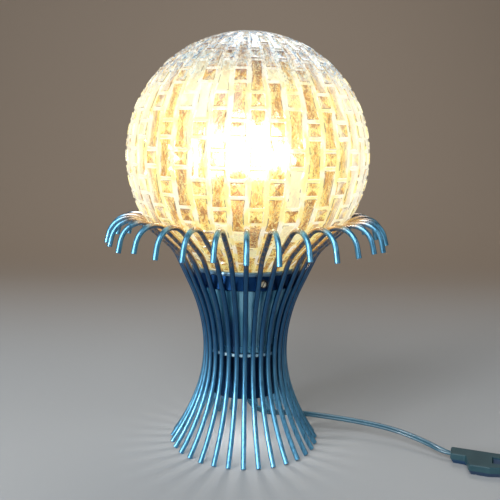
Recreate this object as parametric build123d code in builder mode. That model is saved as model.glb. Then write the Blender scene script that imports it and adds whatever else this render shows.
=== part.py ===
from build123d import *
from math import acos, cos, degrees, pi, radians, sin, sqrt, tan
import os

# A lit table lamp: a hollow pressed-glass globe stands in a waisted cage of bent steel rods, like
# the crown of a palm.  Millimetres, +Z up.  The origin is on the lamp's axis at the floor, the
# front of the lamp faces -Y, and angles around the axis count from the front towards +X.

os.makedirs("parts", exist_ok=True)


def around(angle):
    """The upright plane through the axis at an angle from the front; local x is the radius."""
    out = Vector(sin(radians(angle)), -cos(radians(angle)), 0)
    return Plane(origin=(0, 0, 0), x_dir=out, z_dir=out.cross(Vector(0, 0, 1)))


# ---- the rods ------------------------------------------------------------------------------
ROD_COUNT = 32
ROD_RADIUS = 2.3
END_ROUND = 0.3  # of the edge where a rod is cut square
ROD_PITCH = 360 / ROD_COUNT
WAIST_RADIUS = 38.0  # of the ring of rod centre lines
WAIST_HEIGHT = 92.0
FOOT_LEAN, SHIN_LEAN = 34.65, 20.0  # degrees from upright
FOOT_BEND, SHIN_BEND = 209.0, 128.0  # bend radii below the waist
CHEST_BEND, CHEST_LEAN = 150.0, 24.5  # above the waist
CHEST_STRAIGHT = 29.5
NECK_BEND, FLARE_LEAN = 40.0, 48.0
FLARE_STRAIGHT = 28.0
CREST_BEND = 21.3
CURL_BEND, CURL_TURN = 19.0, 76.0
CURL_VARIES, TIP_VARIES = 1.5, 1.0  # hand bent: degrees of curl and length of tip
TIP_STRAIGHT = 9.0

foot_start = (
    WAIST_RADIUS
    + SHIN_BEND * (1 - cos(radians(SHIN_LEAN)))
    + FOOT_BEND * (cos(radians(SHIN_LEAN)) - cos(radians(FOOT_LEAN))),
    WAIST_HEIGHT
    - SHIN_BEND * sin(radians(SHIN_LEAN))
    - FOOT_BEND * (sin(radians(FOOT_LEAN)) - sin(radians(SHIN_LEAN))),
)
foot_heading = (-sin(radians(FOOT_LEAN)), cos(radians(FOOT_LEAN)))

# Every rod is one bent length, cut square, with its foot's lower edge ground flat where it
# stands on the floor.  Neighbours share a node in pairs.
for pair in range(ROD_COUNT // 2):
    with BuildPart() as rod_pair:
        for rod in (2 * pair, 2 * pair + 1):
            unlike = sin(radians(137.5 * rod))  # from -1 to 1, different for each rod
            upright = around(rod * ROD_PITCH)
            with BuildLine(upright) as bend:
                foot = JernArc(foot_start, foot_heading, FOOT_BEND, SHIN_LEAN - FOOT_LEAN)
                shin = JernArc(foot @ 1, foot % 1, SHIN_BEND, -SHIN_LEAN)
                chest = JernArc(shin @ 1, shin % 1, CHEST_BEND, -CHEST_LEAN)
                rise = Line(chest @ 1, chest @ 1 + (chest % 1) * CHEST_STRAIGHT)
                neck = JernArc(rise @ 1, rise % 1, NECK_BEND, CHEST_LEAN - FLARE_LEAN)
                flare = Line(neck @ 1, neck @ 1 + (neck % 1) * FLARE_STRAIGHT)
                crest = JernArc(flare @ 1, flare % 1, CREST_BEND, FLARE_LEAN - 90)
                curl = JernArc(crest @ 1, crest % 1, CURL_BEND, -CURL_TURN - CURL_VARIES * unlike)
                tip_length = TIP_STRAIGHT + TIP_VARIES * unlike
                tip = Line(curl @ 1, curl @ 1 + (curl % 1) * tip_length)
            with BuildSketch(Plane(origin=foot @ 0, x_dir=upright.z_dir, z_dir=foot % 0)):
                Circle(ROD_RADIUS)
            sweep(path=bend.wire())
        cuts = rod_pair.faces().filter_by(GeomType.PLANE)
        fillet([edge for cut in cuts for edge in cut.edges()], END_ROUND)
        split(bisect_by=Plane.XY, keep=Keep.TOP)
    name = f"rod_pair_{pair + 1:02d}"
    rod_pair.part.label = name
    export_step(rod_pair.part, f"parts/{name}.step")

# ---- the centre tube and what it clamps together -------------------------------------------
TUBE_RADIUS, TUBE_BORE = 5.0, 3.5  # M10 lamp tube
TUBE_BOTTOM, TUBE_TOP = 84.0, 186.0
TUBE_HOLE = 5.05  # radius of each hole that the tube passes through
PLATE_BOTTOM, PLATE_TOP = 93.5, 96.0
PLATE_RADIUS = 37.0
NOTCH_RADIUS = 2.35
NUT_RADIUS = 8.0  # over the corners
NUT_HEIGHT = 5.0

with BuildPart() as threaded_tube:
    with BuildSketch(Plane.XY.offset(TUBE_BOTTOM)):
        Circle(TUBE_RADIUS)
        Circle(TUBE_BORE, mode=Mode.SUBTRACT)
    extrude(amount=TUBE_TOP - TUBE_BOTTOM)
    chamfer(threaded_tube.faces().sort_by(Axis.Z)[-1].outer_wire().edges(), 0.5)
threaded_tube.part.label = "threaded_tube"
export_step(threaded_tube.part, "parts/threaded_tube.step")

# A steel plate at the waist: the rods sit in the half-round notches of its rim.
with BuildPart() as waist_plate:
    with BuildSketch(Plane.XY.offset(PLATE_BOTTOM)):
        Circle(PLATE_RADIUS)
        Circle(TUBE_HOLE, mode=Mode.SUBTRACT)
        with PolarLocations(WAIST_RADIUS + 0.02, ROD_COUNT, start_angle=-90):
            Circle(NOTCH_RADIUS, mode=Mode.SUBTRACT)
    extrude(amount=PLATE_TOP - PLATE_BOTTOM)
waist_plate.part.label = "waist_plate"
export_step(waist_plate.part, "parts/waist_plate.step")


def hex_nut(bottom, height, across_corners, hole):
    """A chamfered hexagon nut on the lamp's axis."""
    with BuildPart() as nut:
        with BuildSketch(Plane.XY.offset(bottom)):
            RegularPolygon(across_corners, 6)
            Circle(hole, mode=Mode.SUBTRACT)
        extrude(amount=height)
        with BuildSketch(Plane.XZ):
            with BuildLine():
                Polyline(
                    (across_corners * 0.9, bottom + height),
                    (across_corners * 1.1, bottom + height),
                    (across_corners * 1.1, bottom + height - 1.6),
                    close=True,
                )
            make_face()
        revolve(axis=Axis.Z, mode=Mode.SUBTRACT)
    return nut.part


bottom_nut = hex_nut(PLATE_BOTTOM - NUT_HEIGHT, NUT_HEIGHT, NUT_RADIUS, TUBE_HOLE)
bottom_nut.label = "bottom_nut"
export_step(bottom_nut, "parts/bottom_nut.step")

# ---- the lower skirt: a dark open cylinder under the waist plate ----------------------------
SKIRT_RADIUS, SKIRT_WALL = 33.5, 1.2
SKIRT_BOTTOM = 52.0

with BuildPart() as lower_skirt:
    with BuildSketch(Plane.XY.offset(SKIRT_BOTTOM)):
        Circle(SKIRT_RADIUS)
        Circle(SKIRT_RADIUS - SKIRT_WALL, mode=Mode.SUBTRACT)
    extrude(amount=PLATE_BOTTOM - SKIRT_BOTTOM)
    fillet(lower_skirt.faces().sort_by(Axis.Z)[0].edges(), 0.4)
lower_skirt.part.label = "lower_skirt"
export_step(lower_skirt.part, "parts/lower_skirt.step")

# ---- the sleeve between waist and gallery, and the collar that it stands in -----------------
SLEEVE_WALL = 1.2
SLEEVE_BOTTOM, SLEEVE_BOTTOM_RADIUS = 97.0, 34.0
SLEEVE_MIDDLE, SLEEVE_MIDDLE_RADIUS = 122.0, 37.0
SLEEVE_TOP, SLEEVE_TOP_RADIUS = 157.5, 47.0
COLLAR_TOP, COLLAR_RADIUS = 102.5, 35.4
COLLAR_FOOT_RADIUS = 32.6

with BuildPart() as sleeve:
    with BuildSketch(Plane.XZ):
        with BuildLine():
            skin = ThreePointArc(
                (SLEEVE_BOTTOM_RADIUS, SLEEVE_BOTTOM),
                (SLEEVE_MIDDLE_RADIUS, SLEEVE_MIDDLE),
                (SLEEVE_TOP_RADIUS, SLEEVE_TOP),
            )
            lining = ThreePointArc(
                (SLEEVE_TOP_RADIUS - SLEEVE_WALL, SLEEVE_TOP),
                (SLEEVE_MIDDLE_RADIUS - SLEEVE_WALL, SLEEVE_MIDDLE),
                (SLEEVE_BOTTOM_RADIUS - SLEEVE_WALL, SLEEVE_BOTTOM),
            )
            Line(skin @ 1, lining @ 0)
            Line(lining @ 1, skin @ 0)
        make_face()
    revolve(axis=Axis.Z)
sleeve.part.label = "sleeve"
export_step(sleeve.part, "parts/sleeve.step")

sleeve_out_at_collar = SLEEVE_BOTTOM_RADIUS + 0.5  # the sleeve widens inside the collar
with BuildPart() as sleeve_collar:
    with BuildSketch(Plane.XZ):
        with BuildLine():
            Polyline(
                (COLLAR_FOOT_RADIUS - 2.0, PLATE_TOP),
                (COLLAR_FOOT_RADIUS, PLATE_TOP),
                (COLLAR_FOOT_RADIUS, SLEEVE_BOTTOM - 0.4),
                (COLLAR_RADIUS - 0.6, SLEEVE_BOTTOM - 0.4),
                (COLLAR_RADIUS, SLEEVE_BOTTOM + 0.4),
                (COLLAR_RADIUS, COLLAR_TOP - 0.4),
                (COLLAR_RADIUS - 0.4, COLLAR_TOP),
                (sleeve_out_at_collar, COLLAR_TOP),
                (sleeve_out_at_collar, SLEEVE_BOTTOM),
                (COLLAR_FOOT_RADIUS - 2.0, SLEEVE_BOTTOM),
                close=True,
            )
        make_face()
    revolve(axis=Axis.Z)
sleeve_collar.part.label = "sleeve_collar"
export_step(sleeve_collar.part, "parts/sleeve_collar.step")

# ---- the gallery: a shallow cup that holds the globe's neck with three screws ---------------
GALLERY_FLOOR, GALLERY_TOP = 159.0, 171.0
GALLERY_RADIUS, GALLERY_WALL = 50.8, 1.2
GALLERY_EDGE = 1.0  # chamfer that clears the rods
RIM_TOP, RIM_BEAD = 175.0, 1.6
RIM_RADIUS = 53.0

with BuildPart() as gallery:
    with BuildSketch(Plane.XZ):
        with BuildLine():
            Polyline(
                (TUBE_HOLE, SLEEVE_TOP),
                (GALLERY_RADIUS - GALLERY_EDGE, SLEEVE_TOP),
                (GALLERY_RADIUS, SLEEVE_TOP + GALLERY_EDGE),
                (GALLERY_RADIUS, GALLERY_TOP),
                (GALLERY_RADIUS - GALLERY_WALL, GALLERY_TOP),
                (GALLERY_RADIUS - GALLERY_WALL, GALLERY_FLOOR),
                (TUBE_HOLE, GALLERY_FLOOR),
                close=True,
            )
        make_face()
    revolve(axis=Axis.Z)

    # three tapped holes for the screws, each in the middle of a gap between rods
    SCREW_HEIGHT = 164.3
    SCREW_RADIUS, SCREW_HOLE = 1.5, 1.55
    SCREW_ANGLES = [1.5 * ROD_PITCH, 12.5 * ROD_PITCH, 22.5 * ROD_PITCH]
    for angle in SCREW_ANGLES:
        side = around(angle)
        outward = Plane(origin=side.x_dir * 45 + Vector(0, 0, SCREW_HEIGHT), z_dir=side.x_dir)
        with BuildSketch(outward):
            Circle(SCREW_HOLE)
        extrude(amount=12, mode=Mode.SUBTRACT)
gallery.part.label = "gallery"
export_step(gallery.part, "parts/gallery.step")

with BuildPart() as gallery_rim:
    with BuildSketch(Plane.XZ):
        with BuildLine():
            lip = Polyline(
                (GALLERY_RADIUS - GALLERY_WALL, GALLERY_TOP),
                (RIM_RADIUS - 0.8, GALLERY_TOP),
                (RIM_RADIUS, GALLERY_TOP + 0.8),
                (RIM_RADIUS, RIM_TOP - RIM_BEAD),
            )
            bead = JernArc(lip @ 1, (0, 1), RIM_BEAD, 180)
            Line(bead @ 1, lip @ 0)
        make_face()
    revolve(axis=Axis.Z)
gallery_rim.part.label = "gallery_rim"
export_step(gallery_rim.part, "parts/gallery_rim.step")

SCREW_TIP = 46.3  # radius that the tip reaches, just off the glass
SCREW_HEAD_RADIUS, SCREW_HEAD_HEIGHT = 2.8, 2.2
SLOT_WIDTH, SLOT_DEPTH = 0.8, 0.9
for number, angle in enumerate(SCREW_ANGLES, start=1):
    side = around(angle)
    head_seat = side.x_dir * (GALLERY_RADIUS + 0.1) + Vector(0, 0, SCREW_HEIGHT)
    with BuildPart() as gallery_screw:
        with BuildSketch(Plane(origin=head_seat, z_dir=-side.x_dir)):
            Circle(SCREW_RADIUS)
        extrude(amount=GALLERY_RADIUS - SCREW_TIP)
        with BuildSketch(Plane(origin=head_seat, z_dir=side.x_dir)):
            Circle(SCREW_HEAD_RADIUS)
        extrude(amount=SCREW_HEAD_HEIGHT)
        head_end = gallery_screw.faces().sort_by(Axis((0, 0, SCREW_HEIGHT), side.x_dir))[-1]
        fillet(head_end.edges(), 1.2)
        slot_plane = Plane(
            origin=head_seat + side.x_dir * SCREW_HEAD_HEIGHT, x_dir=(0, 0, 1), z_dir=-side.x_dir
        )
        with BuildSketch(slot_plane):
            Rectangle(2.2 * SCREW_HEAD_RADIUS, SLOT_WIDTH, rotation=25 * number)
        extrude(amount=SLOT_DEPTH, mode=Mode.SUBTRACT)
    name = f"gallery_screw_{number}"
    gallery_screw.part.label = name
    export_step(gallery_screw.part, f"parts/{name}.step")

gallery_nut = hex_nut(GALLERY_FLOOR, 4.0, NUT_RADIUS, TUBE_HOLE)
gallery_nut.label = "gallery_nut"
export_step(gallery_nut, "parts/gallery_nut.step")

# ---- the lampholder -------------------------------------------------------------------------
HOLDER_BOTTOM = 176.0
CAP_HEIGHT, CAP_WALL = 14.0, 1.5
HOLDER_RADIUS = 19.5
SHELL_TOP = 222.0
SHELL_WALL = 1.5
RING_BOTTOM, RING_TOP, RING_RADIUS = 204.0, 211.0, 23.0
INSERT_BOTTOM, INSERT_FLOOR, INSERT_TOP = 191.0, 196.0, 221.0
INSERT_BORE = 13.6  # the bulb's cap screws in here

holder_nut = hex_nut(HOLDER_BOTTOM - 4.0, 4.0, NUT_RADIUS, TUBE_HOLE)
holder_nut.label = "holder_nut"
export_step(holder_nut, "parts/holder_nut.step")

cap_top = HOLDER_BOTTOM + CAP_HEIGHT
with BuildPart() as holder_cap:
    with BuildSketch(Plane.XZ):
        with BuildLine():
            Polyline((TUBE_HOLE, HOLDER_BOTTOM), (9.5, HOLDER_BOTTOM), (9.5, HOLDER_BOTTOM + 3))
            ThreePointArc(
                (9.5, HOLDER_BOTTOM + 3),
                (HOLDER_RADIUS - 2.7, HOLDER_BOTTOM + 5.6),
                (HOLDER_RADIUS, cap_top - 2),
            )
            Polyline(
                (HOLDER_RADIUS, cap_top - 2),
                (HOLDER_RADIUS, cap_top),
                (HOLDER_RADIUS - CAP_WALL, cap_top),
                (HOLDER_RADIUS - CAP_WALL, cap_top - 1.7),
            )
            ThreePointArc(
                (HOLDER_RADIUS - CAP_WALL, cap_top - 1.7),
                (HOLDER_RADIUS - 3.8, HOLDER_BOTTOM + 6.7),
                (9.5, HOLDER_BOTTOM + 4.6),
            )
            Polyline(
                (9.5, HOLDER_BOTTOM + 4.6),
                (TUBE_HOLE, HOLDER_BOTTOM + 4.6),
                (TUBE_HOLE, HOLDER_BOTTOM),
            )
        make_face()
    revolve(axis=Axis.Z)
holder_cap.part.label = "holder_cap"
export_step(holder_cap.part, "parts/holder_cap.step")

with BuildPart() as holder_shell:
    with BuildSketch(Plane.XY.offset(cap_top)):
        Circle(HOLDER_RADIUS)
        Circle(HOLDER_RADIUS - SHELL_WALL, mode=Mode.SUBTRACT)
    extrude(amount=SHELL_TOP - cap_top)
    fillet(holder_shell.faces().sort_by(Axis.Z)[-1].edges(), 0.5)
holder_shell.part.label = "holder_shell"
export_step(holder_shell.part, "parts/holder_shell.step")

with BuildPart() as holder_ring:
    with BuildSketch(Plane.XY.offset(RING_BOTTOM)):
        Circle(RING_RADIUS)
        Circle(HOLDER_RADIUS + 0.05, mode=Mode.SUBTRACT)
        with PolarLocations(RING_RADIUS + 0.4, 24):
            Circle(0.9, mode=Mode.SUBTRACT)
    extrude(amount=RING_TOP - RING_BOTTOM)
holder_ring.part.label = "holder_ring"
export_step(holder_ring.part, "parts/holder_ring.step")

INSERT_RADIUS = HOLDER_RADIUS - SHELL_WALL - 0.1
with BuildPart() as holder_insert:
    with BuildSketch(Plane.XY.offset(INSERT_BOTTOM)):
        Circle(INSERT_RADIUS)
    extrude(amount=INSERT_TOP - INSERT_BOTTOM)
    with BuildSketch(Plane.XY.offset(INSERT_FLOOR)):
        Circle(INSERT_BORE)
    extrude(amount=INSERT_TOP - INSERT_FLOOR, mode=Mode.SUBTRACT)
    with BuildSketch(Plane.XY.offset(INSERT_BOTTOM)):
        with Locations((-8.5, 0), (8.5, 0)):
            Circle(1.6)
    extrude(amount=INSERT_FLOOR - INSERT_BOTTOM, mode=Mode.SUBTRACT)
holder_insert.part.label = "holder_insert"
export_step(holder_insert.part, "parts/holder_insert.step")

# a centre tongue under the bulb's contact and a side tongue against its cap
with BuildPart() as holder_contacts:
    with BuildSketch(Plane.XZ):
        with BuildLine():
            Polyline(
                (-10.0, INSERT_FLOOR),
                (-3.0, INSERT_FLOOR),
                (3.0, INSERT_FLOOR + 1.0),
                (3.0, INSERT_FLOOR + 1.6),
                (-3.0, INSERT_FLOOR + 0.6),
                (-10.0, INSERT_FLOOR + 0.6),
                close=True,
            )
        make_face()
    extrude(amount=2.5, both=True)
    with BuildSketch(Plane.XZ):
        with BuildLine():
            Polyline(
                (6.0, INSERT_FLOOR),
                (13.0, INSERT_FLOOR),
                (13.0, INSERT_FLOOR + 0.6),
                (6.0, INSERT_FLOOR + 0.6),
                close=True,
            )
        make_face()
    extrude(amount=3.0, both=True)
holder_contacts.part.label = "holder_contacts"
export_step(holder_contacts.part, "parts/holder_contacts.step")

# ---- the bulb --------------------------------------------------------------------------------
BULB_CONTACT = 198.0
BULB_CAP_BOTTOM, BULB_CAP_TOP, BULB_CAP_RADIUS = 200.0, 224.0, 13.1
THREAD_PITCH, THREAD_DEPTH = 3.6, 0.9
BULB_NECK_RADIUS = 13.4
BULB_RADIUS, BULB_CENTRE = 30.0, 273.0
BULB_WALL = 1.0

with BuildPart() as bulb_contact:
    with BuildSketch(Plane.XY.offset(BULB_CONTACT)):
        Circle(4.5)
    extrude(amount=BULB_CAP_BOTTOM - BULB_CONTACT)
    fillet(bulb_contact.faces().sort_by(Axis.Z)[0].edges(), 0.8)
bulb_contact.part.label = "bulb_contact"
export_step(bulb_contact.part, "parts/bulb_contact.step")

# the screw cap, its rolled thread drawn as rings
with BuildPart() as bulb_cap:
    with BuildSketch(Plane.XY.offset(BULB_CAP_BOTTOM)):
        Circle(BULB_CAP_RADIUS)
    extrude(amount=BULB_CAP_TOP - BULB_CAP_BOTTOM)
    chamfer(bulb_cap.faces().sort_by(Axis.Z)[0].edges(), 3.0)
    for ring in range(4):
        with BuildSketch(Plane.XZ):
            with Locations((BULB_CAP_RADIUS + 0.4, BULB_CAP_BOTTOM + 6.0 + ring * THREAD_PITCH)):
                Circle(THREAD_DEPTH)
        revolve(axis=Axis.Z, mode=Mode.SUBTRACT)
bulb_cap.part.label = "bulb_cap"
export_step(bulb_cap.part, "parts/bulb_cap.step")


def bulb_outline(shrink):
    """Half the bulb's outline, inside it by shrink, drawn in the XZ plane and closed on the axis."""
    bulb_round = BULB_RADIUS - shrink
    neck = BULB_NECK_RADIUS - shrink
    shoulder = Vector(bulb_round * cos(radians(-25)), BULB_CENTRE + bulb_round * sin(radians(-25)))
    with BuildLine(Plane.XZ) as outline:
        side = Line((neck, BULB_CAP_TOP), (neck, BULB_CAP_TOP + 6))
        Spline(
            (neck, BULB_CAP_TOP + 6),
            (shoulder.X, shoulder.Y),
            tangents=((0, 1), (sin(radians(25)), cos(radians(25)))),
        )
        ThreePointArc(
            (shoulder.X, shoulder.Y),
            (bulb_round * cos(radians(35)), BULB_CENTRE + bulb_round * sin(radians(35))),
            (0, BULB_CENTRE + bulb_round),
        )
        Polyline((0, BULB_CENTRE + bulb_round), (0, BULB_CAP_TOP), (neck, BULB_CAP_TOP))
    return outline.line


with BuildPart() as bulb_glass:
    with BuildSketch(Plane.XZ):
        add(bulb_outline(0))
        make_face()
    revolve(axis=Axis.Z)
    with BuildSketch(Plane.XZ):
        add(bulb_outline(BULB_WALL))
        make_face()
    revolve(axis=Axis.Z, mode=Mode.SUBTRACT)
bulb_glass.part.label = "bulb_glass"
export_step(bulb_glass.part, "parts/bulb_glass.step")

# ---- the glass globe -------------------------------------------------------------------------
GLOBE_RADIUS, GLOBE_CENTRE = 111.2, 274.0
GLOBE_WALL = 4.0
GLOBE_NECK, GLOBE_NECK_TOP = 46.0, 173.6
CONE_LEAN = 48.0  # degrees from upright; the cone lies along the rods
SHOULDER_BEND = 34.0

# the point where the cone leaves the round of the globe
cone_out = Vector(sin(radians(CONE_LEAN)), cos(radians(CONE_LEAN)))
reach = Vector(GLOBE_NECK, GLOBE_NECK_TOP - GLOBE_CENTRE)
along = reach.X * cone_out.X + reach.Y * cone_out.Y
square = along**2 - (reach.X**2 + reach.Y**2 - GLOBE_RADIUS**2)
cone_length = -along + sqrt(square)
corner = (reach.X + cone_out.X * cone_length, GLOBE_CENTRE + reach.Y + cone_out.Y * cone_length)

# The outside is laid in columns of bricks.  Between two columns runs an upright joint, sunk into
# the glass from under the crown down the cone to just above the neck.
COLUMNS = 44
JOINT_WIDTH, JOINT_DEPTH = 2.8, 1.6
JOINT_TOP = 66.0  # degrees above the equator
JOINT_STANDS_OUT = 1.0  # how far its cutter reaches out of the glass
centre_off_cone = GLOBE_NECK * cone_out.Y + (GLOBE_CENTRE - GLOBE_NECK_TOP) * cone_out.X
shoulder_turn = degrees(acos((centre_off_cone - SHOULDER_BEND) / (GLOBE_RADIUS - SHOULDER_BEND)))
shoulder_from = shoulder_turn - CONE_LEAN  # degrees above the equator where the shoulder begins
shoulder_centre = (
    (GLOBE_RADIUS - SHOULDER_BEND) * cos(radians(shoulder_from)),
    GLOBE_CENTRE + (GLOBE_RADIUS - SHOULDER_BEND) * sin(radians(shoulder_from)),
)
joint_run = cone_length - 40.0  # its length down the cone from the shoulder

with BuildPart() as upright_joint:
    with BuildSketch(around(0)):
        with BuildLine():
            ends = []
            for off in (-JOINT_DEPTH, JOINT_STANDS_OUT):
                upper = CenterArc(
                    (0, GLOBE_CENTRE), GLOBE_RADIUS + off, shoulder_from, JOINT_TOP - shoulder_from
                )
                CenterArc(shoulder_centre, SHOULDER_BEND + off, -CONE_LEAN, shoulder_turn)
                foot = Vector(*shoulder_centre) + Vector(cone_out.Y, -cone_out.X) * (SHOULDER_BEND + off)
                lower = Line(foot, foot - cone_out * joint_run)
                ends.append((upper @ 1, lower @ 1))
            Line(ends[0][0], ends[1][0])
            Line(ends[0][1], ends[1][1])
        make_face()
    extrude(amount=JOINT_WIDTH / 2, both=True)

with BuildPart() as globe:
    with BuildSketch(Plane.XZ) as half:
        with BuildLine():
            neck_line = Line((GLOBE_NECK, GALLERY_FLOOR), (GLOBE_NECK, GLOBE_NECK_TOP))
            Line(neck_line @ 1, corner)
            ThreePointArc(corner, (GLOBE_RADIUS, GLOBE_CENTRE), (0, GLOBE_CENTRE + GLOBE_RADIUS))
            Polyline((0, GLOBE_CENTRE + GLOBE_RADIUS), (0, GALLERY_FLOOR), (GLOBE_NECK, GALLERY_FLOOR))
        make_face()
        shoulder_point = half.vertices().sort_by_distance(corner)[0]
        fillet(shoulder_point, SHOULDER_BEND)
        neck_point = half.vertices().sort_by_distance((GLOBE_NECK, GLOBE_NECK_TOP))[0]
        fillet(neck_point, 6.0)
    revolve(axis=Axis.Z)
    mouth = globe.faces().sort_by(Axis.Z)[0]
    offset(amount=-GLOBE_WALL, openings=mouth)
    fillet(globe.faces().sort_by(Axis.Z)[0].edges(), 0.8)
    with PolarLocations(0, COLUMNS):
        add(upright_joint.part, mode=Mode.SUBTRACT)
globe.part.label = "globe"
export_step(globe.part, "parts/globe.step")

# ---- the strain relief boot and the leads in the tube ----------------------------------------
CORD = 5.4  # width of the flat twin cord, and the diameter of its round stand-in
BOOT_TOP, BOOT_COLLAR, BOOT_BOTTOM = 86.0, 80.0, 62.0
BOOT_RADIUS, BOOT_TIP = 8.0, 3.8

with BuildPart() as strain_relief:
    with BuildSketch(Plane.XZ):
        with BuildLine():
            Polyline(
                (0, BOOT_BOTTOM),
                (BOOT_TIP, BOOT_BOTTOM),
                (6.2, BOOT_COLLAR),
                (BOOT_RADIUS, BOOT_COLLAR),
                (BOOT_RADIUS, BOOT_TOP),
                (TUBE_HOLE, BOOT_TOP),
                (TUBE_HOLE, TUBE_BOTTOM),
                (0, TUBE_BOTTOM),
                close=True,
            )
        make_face()
    revolve(axis=Axis.Z)
    for rib in range(4):
        with BuildSketch(Plane.XZ):
            with Locations((BOOT_TIP + 1.5 + 0.5 * rib, BOOT_BOTTOM + 4 + 3.6 * rib)):
                Circle(0.9)
        revolve(axis=Axis.Z, mode=Mode.SUBTRACT)
strain_relief.part.label = "strain_relief"
export_step(strain_relief.part, "parts/strain_relief.step")

with BuildPart() as leads:
    with BuildSketch(Plane.XY.offset(TUBE_BOTTOM)):
        with Locations((-1.6, 0), (1.6, 0)):
            Circle(1.1)
    extrude(amount=INSERT_BOTTOM - TUBE_BOTTOM)
leads.part.label = "leads"
export_step(leads.part, "parts/leads.step")

# ---- the inline switch -----------------------------------------------------------------------
# Its own frame: u runs along the cord from the lamp's side, v points away from the lamp's
# front, and the straight back edge of the casing is v = 0.
SWITCH_CORNER = (193.5, -36.8)  # of the back edge, on the floor
SWITCH_TURN = -19.2  # degrees from +X
SWITCH_HEIGHT, SWITCH_PART = 10.0, 4.5  # top, and the parting plane of the two halves
SWITCH_LENGTH = 76.0
NECK_WIDTH, NECK_LENGTH = 15.6, 13.0
BODY_WIDTH = 32.7
CORD_LINE, CORD_HEIGHT = -NECK_WIDTH / 2, 5.6
CORD_INSIDE = 13.0  # length of cord inside each neck

switch_frame = Plane(
    origin=(*SWITCH_CORNER, 0),
    x_dir=(cos(radians(SWITCH_TURN)), sin(radians(SWITCH_TURN)), 0),
    z_dir=(0, 0, 1),
)


def switch_point(u, v, height):
    """A point of the switch's frame, in the lamp's frame."""
    place = switch_frame.from_local_coords((u, v, height))
    return (place.X, place.Y, place.Z)


def switch_outline(inset):
    """The casing's outline seen from above, drawn in by inset."""
    with BuildSketch(Plane.XY) as outline:
        with BuildLine():
            Polyline(
                (0, 0),
                (0, -NECK_WIDTH),
                (NECK_LENGTH, -NECK_WIDTH),
                (NECK_LENGTH + 3.5, -BODY_WIDTH),
                (34, -BODY_WIDTH),
                (58, -25.5),
                (63, -NECK_WIDTH),
                (SWITCH_LENGTH, -NECK_WIDTH),
                (SWITCH_LENGTH, 0),
                close=True,
            )
        make_face()
        fillet(outline.vertices(), 2.0)
        if inset:
            offset(amount=-inset)
    return outline.sketch


WELL_U, WELL_V = (36.0, 57.5), (-22.5, -10.0)
POCKET_U, POCKET_V = (17.0, 33.0), (-20.0, -3.5)
ROCKER_U, ROCKER_V = sum(WELL_U) / 2, sum(WELL_V) / 2
PIVOT_HEIGHT, PIVOT_RADIUS, PIVOT_HOLE = 6.6, 1.0, 1.05
ROCKER_TRAVEL = 12.0  # degrees from one rest to the other
SWITCH_SCREWS = [(23.0, -27.5), (60.0, -5.0)]
CHANNEL = 3.0  # radius of the cord's channel
FUNNEL = 4.6  # radius of its mouth


def switch_box(u_range, v_range, low, high):
    """Cuts a straight box out of the casing half that is being made."""
    centre = (sum(u_range) / 2, sum(v_range) / 2)
    plane = Plane(origin=switch_point(*centre, low), x_dir=switch_frame.x_dir, z_dir=(0, 0, 1))
    with BuildSketch(plane) as footprint:
        Rectangle(u_range[1] - u_range[0], v_range[1] - v_range[0])
    extrude(footprint.sketch, amount=high - low, mode=Mode.SUBTRACT)


def cord_channels():
    """Cuts the two cord channels, each with a funnel at its mouth."""
    for start, inward in ((0, 1), (SWITCH_LENGTH, -1)):
        mouth_plane = Plane(
            origin=switch_point(start, CORD_LINE, CORD_HEIGHT), z_dir=switch_frame.x_dir * inward
        )
        throat_plane = mouth_plane.offset(5.0)
        with BuildSketch(mouth_plane) as mouth_circle:
            Circle(FUNNEL)
        with BuildSketch(throat_plane) as throat_circle:
            Circle(CHANNEL)
        loft([mouth_circle.sketch, throat_circle.sketch], mode=Mode.SUBTRACT)
        extrude(throat_circle.sketch, amount=CORD_INSIDE - 5.0, mode=Mode.SUBTRACT)


def screw_holes(radius, low, high):
    """Cuts the holes of the two casing screws."""
    for place in SWITCH_SCREWS:
        with BuildSketch(Plane(origin=switch_point(*place, low), z_dir=(0, 0, 1))) as hole:
            Circle(radius)
        extrude(hole.sketch, amount=high - low, mode=Mode.SUBTRACT)


# the lower half is drawn in towards the floor, like the bottom of a boat
with BuildPart() as switch_base:
    for height, inset in ((0, 3.0), (SWITCH_PART, 0)):
        with BuildSketch(switch_frame.offset(height)):
            add(switch_outline(inset))
    loft()
    switch_box(POCKET_U, POCKET_V, 1.6, SWITCH_PART)
    switch_box(WELL_U, WELL_V, 1.6, SWITCH_PART)
    cord_channels()
    screw_holes(1.5, 0, SWITCH_PART)
    screw_holes(2.6, 0, 1.6)
switch_base.part.label = "switch_base"
export_step(switch_base.part, "parts/switch_base.step")

with BuildPart() as switch_cover:
    with BuildSketch(switch_frame.offset(SWITCH_PART)):
        add(switch_outline(0))
    extrude(amount=SWITCH_HEIGHT - SWITCH_PART)
    chamfer(switch_cover.faces().sort_by(Axis.Z)[-1].edges(), 0.8)
    switch_box(POCKET_U, POCKET_V, SWITCH_PART, SWITCH_HEIGHT - 1.6)
    switch_box(WELL_U, WELL_V, SWITCH_PART, SWITCH_HEIGHT)
    cord_channels()
    screw_holes(1.25, SWITCH_PART, SWITCH_HEIGHT - 1.8)
    # grip ribs cut into the back edge
    for rib in range(7):
        switch_box((19.0 + 4.5 * rib, 20.6 + 4.5 * rib), (-0.7, 1.0), SWITCH_PART, SWITCH_HEIGHT)
    pivot_plane = Plane(
        origin=switch_point(ROCKER_U, WELL_V[0] - 2.0, PIVOT_HEIGHT), z_dir=switch_frame.y_dir
    )
    with BuildSketch(pivot_plane):
        Circle(PIVOT_RADIUS + 0.02)
    extrude(amount=WELL_V[1] - WELL_V[0] + 4.0, mode=Mode.SUBTRACT)
switch_cover.part.label = "switch_cover"
export_step(switch_cover.part, "parts/switch_cover.step")

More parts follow.
